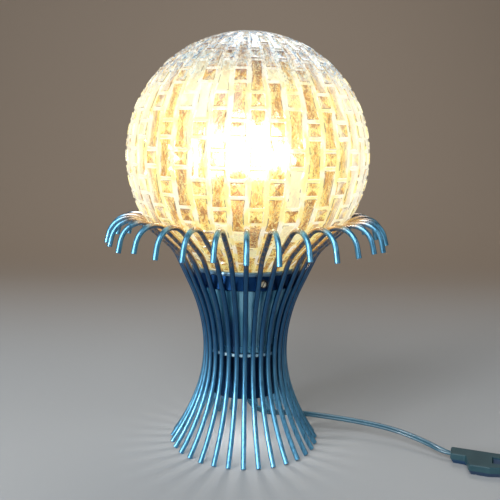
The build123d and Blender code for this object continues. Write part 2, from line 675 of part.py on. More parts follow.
with BuildPart() as switch_pivot:
    with BuildSketch(pivot_plane.offset(0.1)):
        Circle(PIVOT_RADIUS)
    extrude(amount=WELL_V[1] - WELL_V[0] + 3.8)
switch_pivot.part.label = "switch_pivot"
export_step(switch_pivot.part, "parts/switch_pivot.step")

# The rocker is drawn across its pivot and leans by half its travel, so one end stands up.
with BuildPart() as switch_rocker:
    lean = radians(ROCKER_TRAVEL / 2)
    rocker_side = Plane(
        origin=switch_point(ROCKER_U, WELL_V[1] - 0.5, PIVOT_HEIGHT),
        x_dir=switch_frame.x_dir * cos(lean) + switch_frame.z_dir * sin(lean),
        z_dir=-switch_frame.y_dir,
    )
    with BuildSketch(rocker_side):
        with BuildLine():
            Polyline((-9.2, 3.6), (-9.6, -0.6), (-4.0, -2.4), (4.0, -2.4), (9.6, -0.6), (9.2, 3.6))
            ThreePointArc((9.2, 3.6), (0, 2.6), (-9.2, 3.6))
        make_face()
        Circle(PIVOT_HOLE, mode=Mode.SUBTRACT)
    extrude(amount=WELL_V[1] - WELL_V[0] - 1.0)
switch_rocker.part.label = "switch_rocker"
export_step(switch_rocker.part, "parts/switch_rocker.step")

# brass strips under the ends of the rocker
with BuildPart() as switch_contacts:
    for end in (WELL_U[0] + 0.5, WELL_U[1] - 5.5):
        strip = switch_point(end + 2.5, ROCKER_V, 1.6)
        with BuildSketch(Plane(origin=strip, x_dir=switch_frame.x_dir, z_dir=(0, 0, 1))):
            Rectangle(5.0, 6.0)
        extrude(amount=1.8)
switch_contacts.part.label = "switch_contacts"
export_step(switch_contacts.part, "parts/switch_contacts.step")

with BuildPart() as switch_screws:
    for place in SWITCH_SCREWS:
        with BuildSketch(Plane(origin=switch_point(*place, 0.3), z_dir=(0, 0, 1))):
            Circle(2.5)
        extrude(amount=1.3)
        with BuildSketch(Plane(origin=switch_point(*place, 1.6), z_dir=(0, 0, 1))):
            Circle(1.2)
        extrude(amount=6.0)
        slot_place = switch_point(*place, 0.3)
        with BuildSketch(Plane(origin=slot_place, z_dir=(0, 0, 1))):
            Rectangle(5.2, 0.7)
        extrude(amount=0.6, mode=Mode.SUBTRACT)
switch_screws.part.label = "switch_screws"
export_step(switch_screws.part, "parts/switch_screws.step")

# a clamp block behind the end of each cord, in the walls beside the pocket
with BuildPart() as switch_cord_clamps:
    for u in (POCKET_U[0] + 2.0, POCKET_U[1] - 2.0):
        clamp_place = switch_point(u, CORD_LINE, 1.6)
        with BuildSketch(Plane(origin=clamp_place, x_dir=switch_frame.x_dir, z_dir=(0, 0, 1))):
            Rectangle(3.6, 7.0)
        extrude(amount=6.0)
switch_cord_clamps.part.label = "switch_cord_clamps"
export_step(switch_cord_clamps.part, "parts/switch_cord_clamps.step")

# ---- the cord ----------------------------------------------------------------------------------
COIL_TANGENT = 112.0  # distance u at which the cord meets its coil
COIL_RADIUS = 38.1  # of the outermost turn
COIL_OUTER, COIL_INNER, COIL_HEIGHT = 41.0, 19.0, 11.0
tangent_point = Vector(*switch_point(COIL_TANGENT, CORD_LINE, 0))
coil_centre = tangent_point + switch_frame.y_dir * COIL_RADIUS

lamp_route = [
    (0, 0, BOOT_BOTTOM),
    (0, 0, 45.5),
    (7.9, 2.4, 31.2),
    (22.4, 6.8, 22.9),
    (55.5, 18.9, 18.2),
    (100.0, 11.5, 15.4),
    (143.0, -3.5, 13.0),
    (170.0, -24.5, 10.0),
    switch_point(-3.0, CORD_LINE, 5.9),
    switch_point(CORD_INSIDE, CORD_LINE, CORD_HEIGHT),
]
coil_route = [
    switch_point(SWITCH_LENGTH - CORD_INSIDE, CORD_LINE, CORD_HEIGHT),
    switch_point(80.0, CORD_LINE, CORD_HEIGHT),
    switch_point(96.0, CORD_LINE, 3.3),
    switch_point(111.0, CORD_LINE - 0.2, 2.8),
]
PLUG_LEAVES = 20.0  # degrees round the coil where the plug's end of the cord leaves it
leave_out = Vector(cos(radians(PLUG_LEAVES)), sin(radians(PLUG_LEAVES)), 0)
leave_along = Vector(-leave_out.Y, leave_out.X, 0)
leave_point = coil_centre + leave_out * COIL_RADIUS


def plug_route_point(run, aside, height):
    """A point run along the tangent where the cord leaves the coil, and aside towards the coil."""
    place = leave_point + leave_along * run - leave_out * aside
    return (place.X, place.Y, height)


plug_route = [
    plug_route_point(0, 0, 8.1),
    plug_route_point(17, 0.3, 7.8),
    plug_route_point(34, 2.6, 7.0),
    plug_route_point(50, 6.0, 7.0),
]


def cord_tube(route, name):
    """Sweeps the round cord along its route, with every corner as wide as its two runs allow."""
    points = [Vector(*point) for point in route]
    radii = []
    for before, here, after in zip(points, points[1:], points[2:]):
        turn = (here - before).get_angle(after - here)
        shorter = min((here - before).length, (after - here).length)
        radii.append(0.45 * shorter / tan(radians(turn / 2)))
    with BuildPart() as tube:
        with BuildLine() as line:
            FilletPolyline(*points, radius=radii)
        with BuildSketch(Plane(origin=points[0], z_dir=points[1] - points[0])):
            Circle(CORD / 2)
        sweep(path=line.wire())
    length = line.wire().length
    expected = length * pi * (CORD / 2) ** 2
    print(name, "length", round(length, 1), "volume ratio", round(tube.part.volume / expected, 4))
    print("  corner radii", [round(radius, 1) for radius in radii])
    print("  runs", [round((b - a).length, 1) for a, b in zip(points, points[1:])])
    return tube.part


cord_to_switch = cord_tube(lamp_route, "cord_to_switch")
cord_to_switch.label = "cord_to_switch"
export_step(cord_to_switch, "parts/cord_to_switch.step")

cord_to_coil = cord_tube(coil_route, "cord_to_coil")
cord_to_coil.label = "cord_to_coil"
export_step(cord_to_coil, "parts/cord_to_coil.step")

cord_to_plug = cord_tube(plug_route, "cord_to_plug")
cord_to_plug.label = "cord_to_plug"
export_step(cord_to_plug, "parts/cord_to_plug.step")

with BuildPart() as cord_coil:
    with BuildSketch(Plane(origin=(coil_centre.X, coil_centre.Y, 0), z_dir=(0, 0, 1))):
        Circle(COIL_OUTER)
        Circle(COIL_INNER, mode=Mode.SUBTRACT)
    extrude(amount=COIL_HEIGHT)
    fillet(cord_coil.edges().filter_by(GeomType.CIRCLE), 2.6)
cord_coil.part.label = "cord_coil"
export_step(cord_coil.part, "parts/cord_coil.step")

# ---- the plug ------------------------------------------------------------------------------------
PLUG_LENGTH, PLUG_WIDTH, PLUG_THICK = 36.0, 35.0, 14.0
PLUG_TAIL = 12.0  # width at the cord's end
PIN_RADIUS, PIN_LENGTH, PIN_SPACING = 2.0, 19.0, 18.6
PIN_ROOT, PIN_ROOT_RADIUS = 8.0, 1.6  # the thinner end that is moulded into the body
plug_end = Vector(*plug_route[-1])
plug_along = (plug_end - Vector(*plug_route[-2])).normalized()
plug_along = Vector(plug_along.X, plug_along.Y, 0).normalized()
plug_floor = Plane(origin=(plug_end.X, plug_end.Y, 0), x_dir=plug_along, z_dir=(0, 0, 1))
pin_plane = Plane(
    origin=plug_end + plug_along * (PLUG_LENGTH - PIN_ROOT),
    x_dir=plug_floor.y_dir,
    z_dir=plug_along,
)

with BuildPart() as plug_body:
    with BuildSketch(plug_floor) as plug_shape:
        with BuildLine():
            Polyline(
                (0, PLUG_TAIL / 2),
                (9, PLUG_TAIL / 2 + 1),
                (20, PLUG_WIDTH / 2),
                (PLUG_LENGTH, PLUG_WIDTH / 2 - 3),
                (PLUG_LENGTH, 3 - PLUG_WIDTH / 2),
                (20, -PLUG_WIDTH / 2),
                (9, -PLUG_TAIL / 2 - 1),
                (0, -PLUG_TAIL / 2),
                close=True,
            )
        make_face()
    extrude(amount=PLUG_THICK)
    chamfer(plug_body.edges().filter_by(Axis.Z, reverse=True).group_by(Axis.Z)[-1], 2.0)
    with BuildSketch(pin_plane):
        with Locations((-PIN_SPACING / 2, 0), (PIN_SPACING / 2, 0)):
            Circle(PIN_ROOT_RADIUS)
    extrude(amount=PIN_ROOT, mode=Mode.SUBTRACT)
plug_body.part.label = "plug_body"
export_step(plug_body.part, "parts/plug_body.step")

with BuildPart() as plug_pins:
    for plane, radius, length in (
        (pin_plane, PIN_ROOT_RADIUS, PIN_ROOT),
        (pin_plane.offset(PIN_ROOT), PIN_RADIUS, PIN_LENGTH),
    ):
        with BuildSketch(plane):
            with Locations((-PIN_SPACING / 2, 0), (PIN_SPACING / 2, 0)):
                Circle(radius)
        extrude(amount=length)
plug_pins.part.label = "plug_pins"
export_step(plug_pins.part, "parts/plug_pins.step")

print("coil centre", coil_centre, "plug end", plug_end, "plug along", plug_along)
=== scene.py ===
# %% [markdown]
# # A glass globe lamp in a palm of bent rods
# The lamp has three layers.  A cage of 32 bent rods stands on the table, with a waist where the
# rods touch a plate and upper ends that curl over like palm leaves.  In the cage sits a shallow
# cup, the gallery, and in the cup a hollow globe of pressed glass with a brick relief, lit by a
# bulb.  A flat cord runs from the foot to an inline switch, a coil of spare cord and a plug.
# The frame brings every hard piece at its real size and place.  This script gives them their
# finishes, and models the two things that the frame only stands in for: the relief of the glass
# and the flat cord.  It adds two small things of its own, a tie round the coil and washers under
# the gallery's screws.

# %% Load the frame
from math import acos, copysign, cos, floor, inf, pi, radians, sin

import bpy
from mathutils import Matrix, Vector


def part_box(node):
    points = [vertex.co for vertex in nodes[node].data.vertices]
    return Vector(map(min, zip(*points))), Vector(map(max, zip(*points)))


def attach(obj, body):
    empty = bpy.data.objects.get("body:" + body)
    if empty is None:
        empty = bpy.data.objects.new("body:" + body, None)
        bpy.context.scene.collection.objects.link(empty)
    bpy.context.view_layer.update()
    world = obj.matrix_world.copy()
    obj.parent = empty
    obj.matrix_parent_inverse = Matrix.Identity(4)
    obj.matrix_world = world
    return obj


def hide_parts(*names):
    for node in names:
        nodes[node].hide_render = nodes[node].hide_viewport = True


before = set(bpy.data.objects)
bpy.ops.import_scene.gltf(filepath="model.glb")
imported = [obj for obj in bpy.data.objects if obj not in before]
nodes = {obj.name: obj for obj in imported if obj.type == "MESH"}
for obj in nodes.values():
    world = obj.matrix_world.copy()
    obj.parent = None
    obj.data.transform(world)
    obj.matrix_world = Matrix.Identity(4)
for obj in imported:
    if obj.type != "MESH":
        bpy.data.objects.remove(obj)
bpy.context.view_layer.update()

# %% [markdown]
# ## The camera
# It stands in front, just above the level of the globe's middle, and looks down by nine degrees.
# So the floor shows under the feet, and the globe is still seen from the side.  Its direction is
# built from three plain turns, because the triple of angles that comes out says little.

# %% Camera
CAMERA_PLACE = (0, -0.6326, 0.288)
CAMERA_HEADING, CAMERA_PITCH, CAMERA_ROLL = -0.30, 80.9, 0.88  # degrees
CAMERA_LENS = 48.89

camera_data = bpy.data.cameras.new("camera")
camera_data.lens = CAMERA_LENS
camera = bpy.data.objects.new("camera", camera_data)
bpy.context.scene.collection.objects.link(camera)
camera.location = CAMERA_PLACE
camera.rotation_euler = (
    Matrix.Rotation(radians(CAMERA_HEADING), 3, "Z")
    @ Matrix.Rotation(radians(CAMERA_PITCH), 3, "X")
    @ Matrix.Rotation(radians(CAMERA_ROLL), 3, "Z")
).to_euler()
bpy.context.scene.camera = camera
bpy.context.scene.view_settings.view_transform = "Standard"
print("camera", camera.location, camera.rotation_euler)


# %% [markdown]
# ## Helpers for modelling
# An operator acts on all that is selected, and the frame arrives selected, so everything is
# deselected before a piece is begun.  A finished piece keeps its place in its mesh.


# %% Small helpers
def deselect():
    """Nothing is selected or active."""
    if bpy.context.object and bpy.context.object.mode == "EDIT":
        bpy.ops.object.mode_set(mode="OBJECT")
    bpy.ops.object.select_all(action="DESELECT")


def only(piece):
    """Selects one piece alone and makes it active."""
    deselect()
    piece.select_set(True)
    bpy.context.view_layer.objects.active = piece
    return piece


def new_mesh(name, points, faces):
    """A mesh object with its place in its mesh."""
    mesh = bpy.data.meshes.new(name)
    mesh.from_pydata(points, [], faces)
    piece = bpy.data.objects.new(name, mesh)
    bpy.context.scene.collection.objects.link(piece)
    return piece


def curve_points(route):
    """Closely spaced points of the smooth line that has a route as its control points."""
    curve = bpy.data.curves.new("route", "CURVE")
    curve.dimensions = "3D"
    spline = curve.splines.new("NURBS")
    spline.points.add(len(route) - 1)
    for point, place in zip(spline.points, route):
        point.co = (*place, 1)
    spline.order_u = 3
    spline.use_endpoint_u = True
    curve.resolution_u = 6
    holder = bpy.data.objects.new("route", curve)
    bpy.context.scene.collection.objects.link(holder)
    line = bpy.data.meshes.new_from_object(holder)
    points = [vertex.co.copy() for vertex in line.vertices]
    bpy.data.objects.remove(holder)
    bpy.data.meshes.remove(line)
    return points


print("helpers ready")

# %% [markdown]
# ## The cord
# A table lamp's cord is a flat twin: two insulated wires side by side with a groove between
# them.  It could be a curve with a bevel, but a curve gives no hold on how the flat section
# turns, so the section is drawn once and set up at each point of the cord's smooth line.  It
# leaves the strain relief at the lower end of the lamp tube, drops between the rods, and spans
# to the switch.

# %% The cord's section
CORD_WIDTH, CORD_THICKNESS = 0.0054, 0.0029
WIRE_RADIUS = CORD_THICKNESS / 2
WIRE_OFFSET = CORD_WIDTH / 2 - WIRE_RADIUS
WIRE_STEPS = 8  # around each wire, from groove to groove

groove = acos(-WIRE_OFFSET / WIRE_RADIUS)  # where the outline of a wire meets the other
section = []
for side in (1, -1):
    for step in range(WIRE_STEPS):
        turn = -groove + 2 * groove * step / WIRE_STEPS
        across, over = WIRE_OFFSET + WIRE_RADIUS * cos(turn), WIRE_RADIUS * sin(turn)
        section.append((side * across, side * over))
print("section of", len(section), "points")

# %% A tube with the flat section
CREASE = radians(40)  # edges that turn more than this stay sharp


def flat_cord(name, points, across_at):
    """A tube with the flat section along points; across_at gives the broad direction at each."""
    rings, faces = [], []
    for index, point in enumerate(points):
        ahead = points[min(index + 1, len(points) - 1)] - points[max(index - 1, 0)]
        ahead.normalize()
        across = across_at(index, point, ahead)
        across = (across - ahead * across.dot(ahead)).normalized()
        over = ahead.cross(across)
        rings += [point + across * x + over * y for x, y in section]
    count = len(section)
    for index in range(len(points) - 1):
        for step in range(count):
            low, next_step = index * count, (step + 1) % count
            faces.append((low + step, low + next_step, low + count + next_step, low + count + step))
    faces.append(list(range(count))[::-1])
    faces.append([(len(points) - 1) * count + step for step in range(count)])
    piece = new_mesh(name, rings, faces)
    only(piece)
    bpy.ops.object.mode_set(mode="EDIT")
    bpy.ops.mesh.select_all(action="SELECT")
    bpy.ops.mesh.normals_make_consistent(inside=False)
    bpy.ops.object.mode_set(mode="OBJECT")
    bpy.ops.object.shade_smooth_by_angle(angle=CREASE)
    return piece


print("cord ready")

# %% [markdown]
# The switch has its own directions: u runs along the cord away from the lamp, v away from the
# front.  The route's points beside it are given in them.  The cord lies flat in the switch's
# neck and turns on its edge towards the lamp.

# %% From the lamp to the switch
SWITCH_CORNER = Vector((0.1935, -0.0368, 0))
SWITCH_TURN = radians(-19.2)
SWITCH_LENGTH, CORD_INSIDE = 0.076, 0.013
CORD_LINE = -0.0078  # v of the cord
switch_u = Vector((cos(SWITCH_TURN), sin(SWITCH_TURN), 0))
switch_v = Vector((-sin(SWITCH_TURN), cos(SWITCH_TURN), 0))


def by_switch(u, v, height):
    """A place given from the switch's corner, in its own directions."""
    return tuple(SWITCH_CORNER + switch_u * u + switch_v * v + Vector((0, 0, height)))


lamp_route = [
    (0, 0, 0.062),
    (0, 0, 0.0455),
    (0.0079, 0.0024, 0.0312),
    (0.0224, 0.0068, 0.0229),
    (0.0555, 0.0189, 0.0182),
    (0.1000, 0.0115, 0.0154),
    (0.1430, -0.0035, 0.0130),
    (0.1700, -0.0245, 0.0100),
    by_switch(-0.003, CORD_LINE, 0.0059),
    by_switch(CORD_INSIDE, CORD_LINE, 0.0056),
]
EDGE_TURN = radians(64)  # how far the flat cord stands up on its edge between lamp and switch
EDGE_FROM, EDGE_BY = 0.10, 0.25  # where it turns up, as shares of the cord's points
FLAT_FROM, FLAT_BY = 0.86, 0.96  # where it lies down again


def smooth(x):
    """Rises softly from 0 to 1 as x does, and stays there."""
    x = max(0.0, min(1.0, x))
    return x * x * (3 - 2 * x)


lamp_points = curve_points(lamp_route)


def lamp_across(index, point, ahead):
    """Level across the line, then turned up on its edge between the lamp and the switch."""
    level = (switch_v - ahead * ahead.dot(switch_v)).normalized()
    share = index / (len(lamp_points) - 1)
    turn = EDGE_TURN * smooth((share - EDGE_FROM) / (EDGE_BY - EDGE_FROM))
    turn *= 1 - smooth((share - FLAT_FROM) / (FLAT_BY - FLAT_FROM))
    return Matrix.Rotation(turn, 3, ahead) @ level


cord_lamp = flat_cord("cord_lamp", lamp_points, lamp_across)
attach(cord_lamp, "root")
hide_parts("cord_to_switch")

# %% [markdown]
# The spare cord is wound into a neat coil of two layers, as it is put away: inwards on the
# floor, up at the middle, and outwards again on top.  The cord stands on its edge in the coil,
# because a flat cord bends easily only one way.  From the coil the last length goes to the plug.

# %% The coil
COIL_TANGENT = 0.112  # u at which the cord meets the coil
COIL_RADIUS = 0.0381  # of the outermost turn
COIL_PITCH = 0.0054
COIL_LOW, COIL_HIGH = 0.00305, 0.0083  # heights of the two layers
TURN_POINTS = 16
WHOLE_TURNS = 7
SPIRAL_TURNS, HOLD_TURNS = 3.0, 0.3  # spent winding in or out, and kept at the rim
CLIMB_WAITS = 0.1  # turns before and after the cord climbs from layer to layer
PLUG_LEAVES = radians(20)  # angle round the coil where the cord leaves it

tangent = Vector(by_switch(COIL_TANGENT, CORD_LINE, 0))
coil_centre = tangent + switch_v * COIL_RADIUS
start_turn = SWITCH_TURN - pi / 2
all_turns = (PLUG_LEAVES - start_turn) / (2 * pi) + WHOLE_TURNS
climb_turns = all_turns - 2 * SPIRAL_TURNS - 2 * HOLD_TURNS

coil_route = []
coil_steps = round(all_turns * TURN_POINTS)
for step in range(1, coil_steps):
    turned = all_turns * step / coil_steps
    wound_in = min(max(turned - HOLD_TURNS, 0), SPIRAL_TURNS)
    wound_out = min(max(turned - HOLD_TURNS - SPIRAL_TURNS - climb_turns, 0), SPIRAL_TURNS)
    radius = COIL_RADIUS - COIL_PITCH * (wound_in - wound_out)
    climb_turned = turned - HOLD_TURNS - SPIRAL_TURNS - CLIMB_WAITS
    climb = smooth(climb_turned / (climb_turns - 2 * CLIMB_WAITS))
    angle = start_turn + 2 * pi * turned
    height = COIL_LOW + (COIL_HIGH - COIL_LOW) * climb
    coil_route.append(tuple(coil_centre + Vector((radius * cos(angle), radius * sin(angle), height))))
print("coil of", round(all_turns, 2), "turns")

# %% From the switch through the coil to the plug
leave_out = Vector((cos(PLUG_LEAVES), sin(PLUG_LEAVES), 0))
leave_along = Vector((-leave_out.y, leave_out.x, 0))
leave_point = coil_centre + leave_out * COIL_RADIUS


def by_coil(run, aside, height):
    """A place given from where the cord leaves the coil, along it and towards the middle."""
    return tuple(leave_point + leave_along * run - leave_out * aside + Vector((0, 0, height)))


plug_route = (
    [
        by_switch(SWITCH_LENGTH - CORD_INSIDE, CORD_LINE, 0.0056),
        by_switch(0.080, CORD_LINE, 0.0056),
        by_switch(0.096, CORD_LINE, 0.0035),
        by_switch(0.111, CORD_LINE - 0.0002, 0.0031),
    ]
    + coil_route
    + [
        by_coil(0, 0, 0.0081),
        by_coil(0.017, 0.0003, 0.0078),
        by_coil(0.034, 0.0026, 0.0070),
        by_coil(0.050, 0.0060, 0.0070),
    ]
)
plug_points = curve_points(plug_route)
LEVEL_AT_SWITCH, LEVEL_AT_PLUG = 0.012, 0.006  # lengths that still lie level
LEAD_IN = 0.04  # length over which the cord turns up on its edge


def plug_across(index, point, ahead):
    """Upright in the coil, and level at the switch and at the plug."""
    level = Vector((-ahead.y, ahead.x, 0)).normalized()
    to_switch = (point - plug_points[0]).length
    to_plug = (point - plug_points[-1]).length
    turn = pi / 2 * smooth((to_switch - LEVEL_AT_SWITCH) / LEAD_IN)
    turn *= smooth((to_plug - LEVEL_AT_PLUG) / LEAD_IN)
    return Matrix.Rotation(turn, 3, ahead) @ level


cord_plug = flat_cord("cord_plug", plug_points, plug_across)
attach(cord_plug, "root")
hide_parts("cord_to_coil", "cord_coil", "cord_to_plug")

# %% [markdown]
# A strap holds the turns together.  It is a thin band that goes once round them, with its free
# end left lying on top.  Its line is an ellipse pushed out into four corners.  A ribbon is drawn
# along it, and Solidify gives the ribbon its thickness.

# %% The tie round the coil
TIE_TURN = SWITCH_TURN + radians(150)  # where it sits, round the coil
TIE_HALF_WIDTH, TIE_THICKNESS = 0.0045, 0.0004
TIE_INNER, TIE_OUTER, TIE_TOP = 0.0199, 0.0401, 0.0112
TIE_END_IN, TIE_END_OUT = -0.008, 0.002  # the free end lies from here to here, off the middle
TIE_END_LIFTS, TIE_END_RISES = 0.0005, 0.0001
TIE_STEPS, TIE_STARTS = 32, 1.2  # steps round, and the turn where the strap starts
TIE_SQUARE = 0.3  # 1 would make the line an ellipse, and 0 a rectangle

tie_middle, tie_half = (TIE_INNER + TIE_OUTER) / 2, (TIE_OUTER - TIE_INNER) / 2
tie_line = [
    (tie_middle + TIE_END_IN, TIE_TOP + TIE_END_LIFTS + TIE_END_RISES),
    (tie_middle + TIE_END_OUT, TIE_TOP + TIE_END_LIFTS),
]
for step in range(TIE_STEPS + 1):  # once round, from the outer side over the floor and back on top
    turn = TIE_STARTS - 2 * pi * step / TIE_STEPS
    wide, tall = (copysign(abs(part) ** TIE_SQUARE, part) for part in (cos(turn), sin(turn)))
    tie_line.append((tie_middle + tie_half * wide, (TIE_TOP + TIE_THICKNESS) / 2 * (1 + tall)))
tie_out = Vector((cos(TIE_TURN), sin(TIE_TURN), 0))
tie_along = Vector((-tie_out.y, tie_out.x, 0))
tie_points = [
    coil_centre + tie_out * radius + tie_along * aside + Vector((0, 0, height))
    for radius, height in tie_line for aside in (-TIE_HALF_WIDTH, TIE_HALF_WIDTH)
]
tie_faces = [(2 * i, 2 * i + 1, 2 * i + 3, 2 * i + 2) for i in range(len(tie_line) - 1)]
coil_tie = only(new_mesh("coil_tie", tie_points, tie_faces))
bpy.ops.object.modifier_add(type="SOLIDIFY")
coil_tie.modifiers[0].thickness = TIE_THICKNESS
coil_tie.modifiers[0].offset = 0
bpy.ops.object.modifier_apply(modifier=coil_tie.modifiers[0].name)
bpy.ops.object.shade_smooth_by_angle(angle=CREASE)
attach(coil_tie, "root")
print("tie", len(coil_tie.data.polygons), "faces")

# %% [markdown]

# %% [markdown]
# ## The glass globe
# The real globe is pressed in a mould.  Its outside is laid in 44 upright columns of bricks: a
# square one and a tall one in turn, half a repeat higher in the next column, with sunk joints
# between.  The tall bricks have sides that slope in towards the middle, so their flat face is an
# hourglass, and the square ones have four facets that fall to a point.  Above the last course
# 22 long petals close the crown.
# Carving that into a sphere would need thousands of cuts, so one strip, two columns wide, is
# modelled flat as a grid whose lines lie on the edges of the relief.  It is then wrapped onto
# the globe's outline, copied around and merged.
# The outline comes first: the round of the globe, a shoulder, a straight cone and the neck.

# %% The globe's outline
globe_low, globe_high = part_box("globe")
GLOBE_RADIUS = (globe_high.x - globe_low.x) / 2
GLOBE_WALL = 0.004
NECK_RADIUS, NECK_TOP = 0.046, 0.1736
CONE_LEAN = radians(48)
SHOULDER_BEND, NECK_BEND = 0.034, 0.006
globe_centre = globe_high.z - GLOBE_RADIUS

# the cone is straight, so the distances square to it say where the round of the globe ends
centre_off_cone = NECK_RADIUS * cos(CONE_LEAN) + (globe_centre - NECK_TOP) * sin(CONE_LEAN)
round_ends = acos((centre_off_cone - SHOULDER_BEND) / (GLOBE_RADIUS - SHOULDER_BEND)) - CONE_LEAN
cone_top = Vector((
    (GLOBE_RADIUS - SHOULDER_BEND) * cos(round_ends) + SHOULDER_BEND * cos(CONE_LEAN),
    globe_centre + (GLOBE_RADIUS - SHOULDER_BEND) * sin(round_ends) - SHOULDER_BEND * sin(CONE_LEAN),
))
neck_setback = NECK_BEND * sin(CONE_LEAN / 2) / cos(CONE_LEAN / 2)
cone_length = (cone_top - Vector((NECK_RADIUS, NECK_TOP))).length - neck_setback
outline = [  # each stretch from the crown down: its length and bend radius
    (GLOBE_RADIUS * (pi / 2 - round_ends), GLOBE_RADIUS),
    (SHOULDER_BEND * (CONE_LEAN + round_ends), SHOULDER_BEND),
    (cone_length, inf),
    (NECK_BEND * CONE_LEAN, -NECK_BEND),
    (NECK_TOP - neck_setback - globe_low.z, inf),
]
EQUATOR = GLOBE_RADIUS * pi / 2  # distance from the crown to the equator
outline_length = sum(length for length, bend in outline)


def outline_at(run):
    """The radius, height and outward direction of the globe's outline, run from the crown."""
    place, heading = Vector((0, globe_centre + GLOBE_RADIUS)), 0.0  # heading falls from level
    for length, bend in outline:
        step = min(run, length)
        if bend == inf:
            place += Vector((cos(heading), -sin(heading))) * step
        else:
            after = heading + step / bend
            place += Vector((sin(after) - sin(heading), cos(after) - cos(heading))) * bend
            heading = after
        run -= step
        if run <= 0:
            break
    return place, Vector((sin(heading), cos(heading)))


print("outline", round(outline_length, 4), "ends at", outline_at(outline_length))

# %% [markdown]
# The relief is worked out on the flat.  A function says, for a grid line of a column and a
# distance down it, how deep the glass lies there and where in its brick that is.  The finish
# reads these values later, so that its colours follow the relief.

# %% The relief of one column
COLUMNS = 44
REPEAT = 0.047  # one square brick, one tall brick and their joints
SQUARE_HALF, ROW_JOINT = 0.0061, 0.0016
BEVEL = 0.0012
JOINT_DEPTH, DISH_DEPTH, FACET_DEPTH = 0.0017, 0.0010, 0.0012
SIDE_JOINT = 0.15  # half of it, as a share of half a column
SIDE_BEVEL, WAIST_BEVEL = 0.16, 0.26  # of a bevel, and what the hourglass adds at its middle
WAIST_BEND = 1.6  # how much of the narrowing lies near the hourglass's middle
tall_half = REPEAT / 2 - SQUARE_HALF - ROW_JOINT


def relief(across, along):
    """Where a grid line of a column goes, the depth there and its place in the pattern.

    across counts the column's lines from -4 to 4: joint, joint's edge, bevel, halfway, middle.
    along is the distance from the middle of the nearest square brick.
    """
    rows = abs(along)
    from_tall = REPEAT / 2 - rows
    in_square = rows < SQUARE_HALF + ROW_JOINT / 2
    half = SQUARE_HALF if in_square else tall_half
    inside = half - (rows if in_square else from_tall)  # distance into the brick from its end
    end_rise = max(0.0, min(1.0, inside / BEVEL))
    waist = 0.0 if in_square else 1 - min(1.0, abs(from_tall) / tall_half) ** WAIST_BEND
    bevel = SIDE_BEVEL + WAIST_BEVEL * waist
    face = 1 - SIDE_JOINT - bevel
    line = abs(across)
    place = (0.0, face / 2, face, 1 - SIDE_JOINT, 1.0)[line]
    side_rise = (1.0, 1.0, 1.0, 0.0, 0.0)[line]
    rise = min(end_rise, side_rise)
    into_face = max(0.0, min(1.0, (inside - BEVEL) / (half - BEVEL)))
    if in_square:
        dip = FACET_DEPTH * min(1 - min(place / face, 1.0), into_face)
    else:
        dip = DISH_DEPTH * (1 - (1 - into_face) ** 2)  # a flat brick on a round globe
    depth = JOINT_DEPTH * (1 - rise) + dip * rise
    pattern = 1 - rise, place / face, 1 - into_face, 0.0 if in_square else 1.0
    return (place if across > 0 else -place), depth, pattern


print("tall brick", round(2 * tall_half, 4), "square brick", round(2 * SQUARE_HALF, 4))

# %% [markdown]
# The rows of the grid can't be evenly spaced, because a joint is under two millimetres high and
# a tall brick over thirty.  They are gathered from the edges of the bricks in both columns.

# %% The rows of one strip
CROWN = 0.0460  # distance from the apex to the first course of bricks
BRICKS_END = EQUATOR + 0.1255
LINES = 4  # grid lines on each side of a column's middle
PETAL_RINGS, NECK_RINGS, INNER_RINGS = 14, 5, 44
FACET_LINE = 0.0023  # a row that the facets of a square brick need near its middle
HALF_REPEATS = 7  # above the equator and below it

edges = (0.0, FACET_LINE, SQUARE_HALF - BEVEL, SQUARE_HALF, SQUARE_HALF + ROW_JOINT,
         SQUARE_HALF + ROW_JOINT + BEVEL)
courses = {CROWN, BRICKS_END}
for half_repeat in range(-HALF_REPEATS, HALF_REPEATS):
    middle = EQUATOR + half_repeat * REPEAT / 2
    for edge in edges:
        courses |= {round(middle + edge, 6), round(middle - edge, 6)}
outer_runs = [CROWN * ring / PETAL_RINGS for ring in range(PETAL_RINGS)]
outer_runs += sorted(run for run in courses if CROWN <= run <= BRICKS_END)
neck = outline_length - BRICKS_END
outer_runs += [BRICKS_END + neck * ring / NECK_RINGS for ring in range(1, NECK_RINGS + 1)]
inner_runs = [outline_length * (1 - ring / INNER_RINGS) for ring in range(INNER_RINGS + 1)]
print(len(outer_runs), "rows outside,", len(inner_runs), "inside")

# %% [markdown]
# Each point of the grid gets an angle round the globe and a place on its outline, and is sunk by
# its depth.  The inner wall is the last rows of the same grid, smooth and a wall's thickness
# further in, so that one grid makes a closed shell.

# %% A point of the strip, wrapped onto the globe
PETAL_DEPTH, PETAL_HOLLOW = 0.0026, 0.0012
PETAL_FALLS = 0.72  # where a petal starts to fall to its joint, as a share of its half width
JOINT_OPENS, HOLLOW_OPENS = 1.6, 2  # how early, on the way down from the apex
FLATTENS = 0.6  # how the relief goes flat towards the apex
NO_BRICK = -99.0  # the brick value of the petals
half_column = pi / COLUMNS


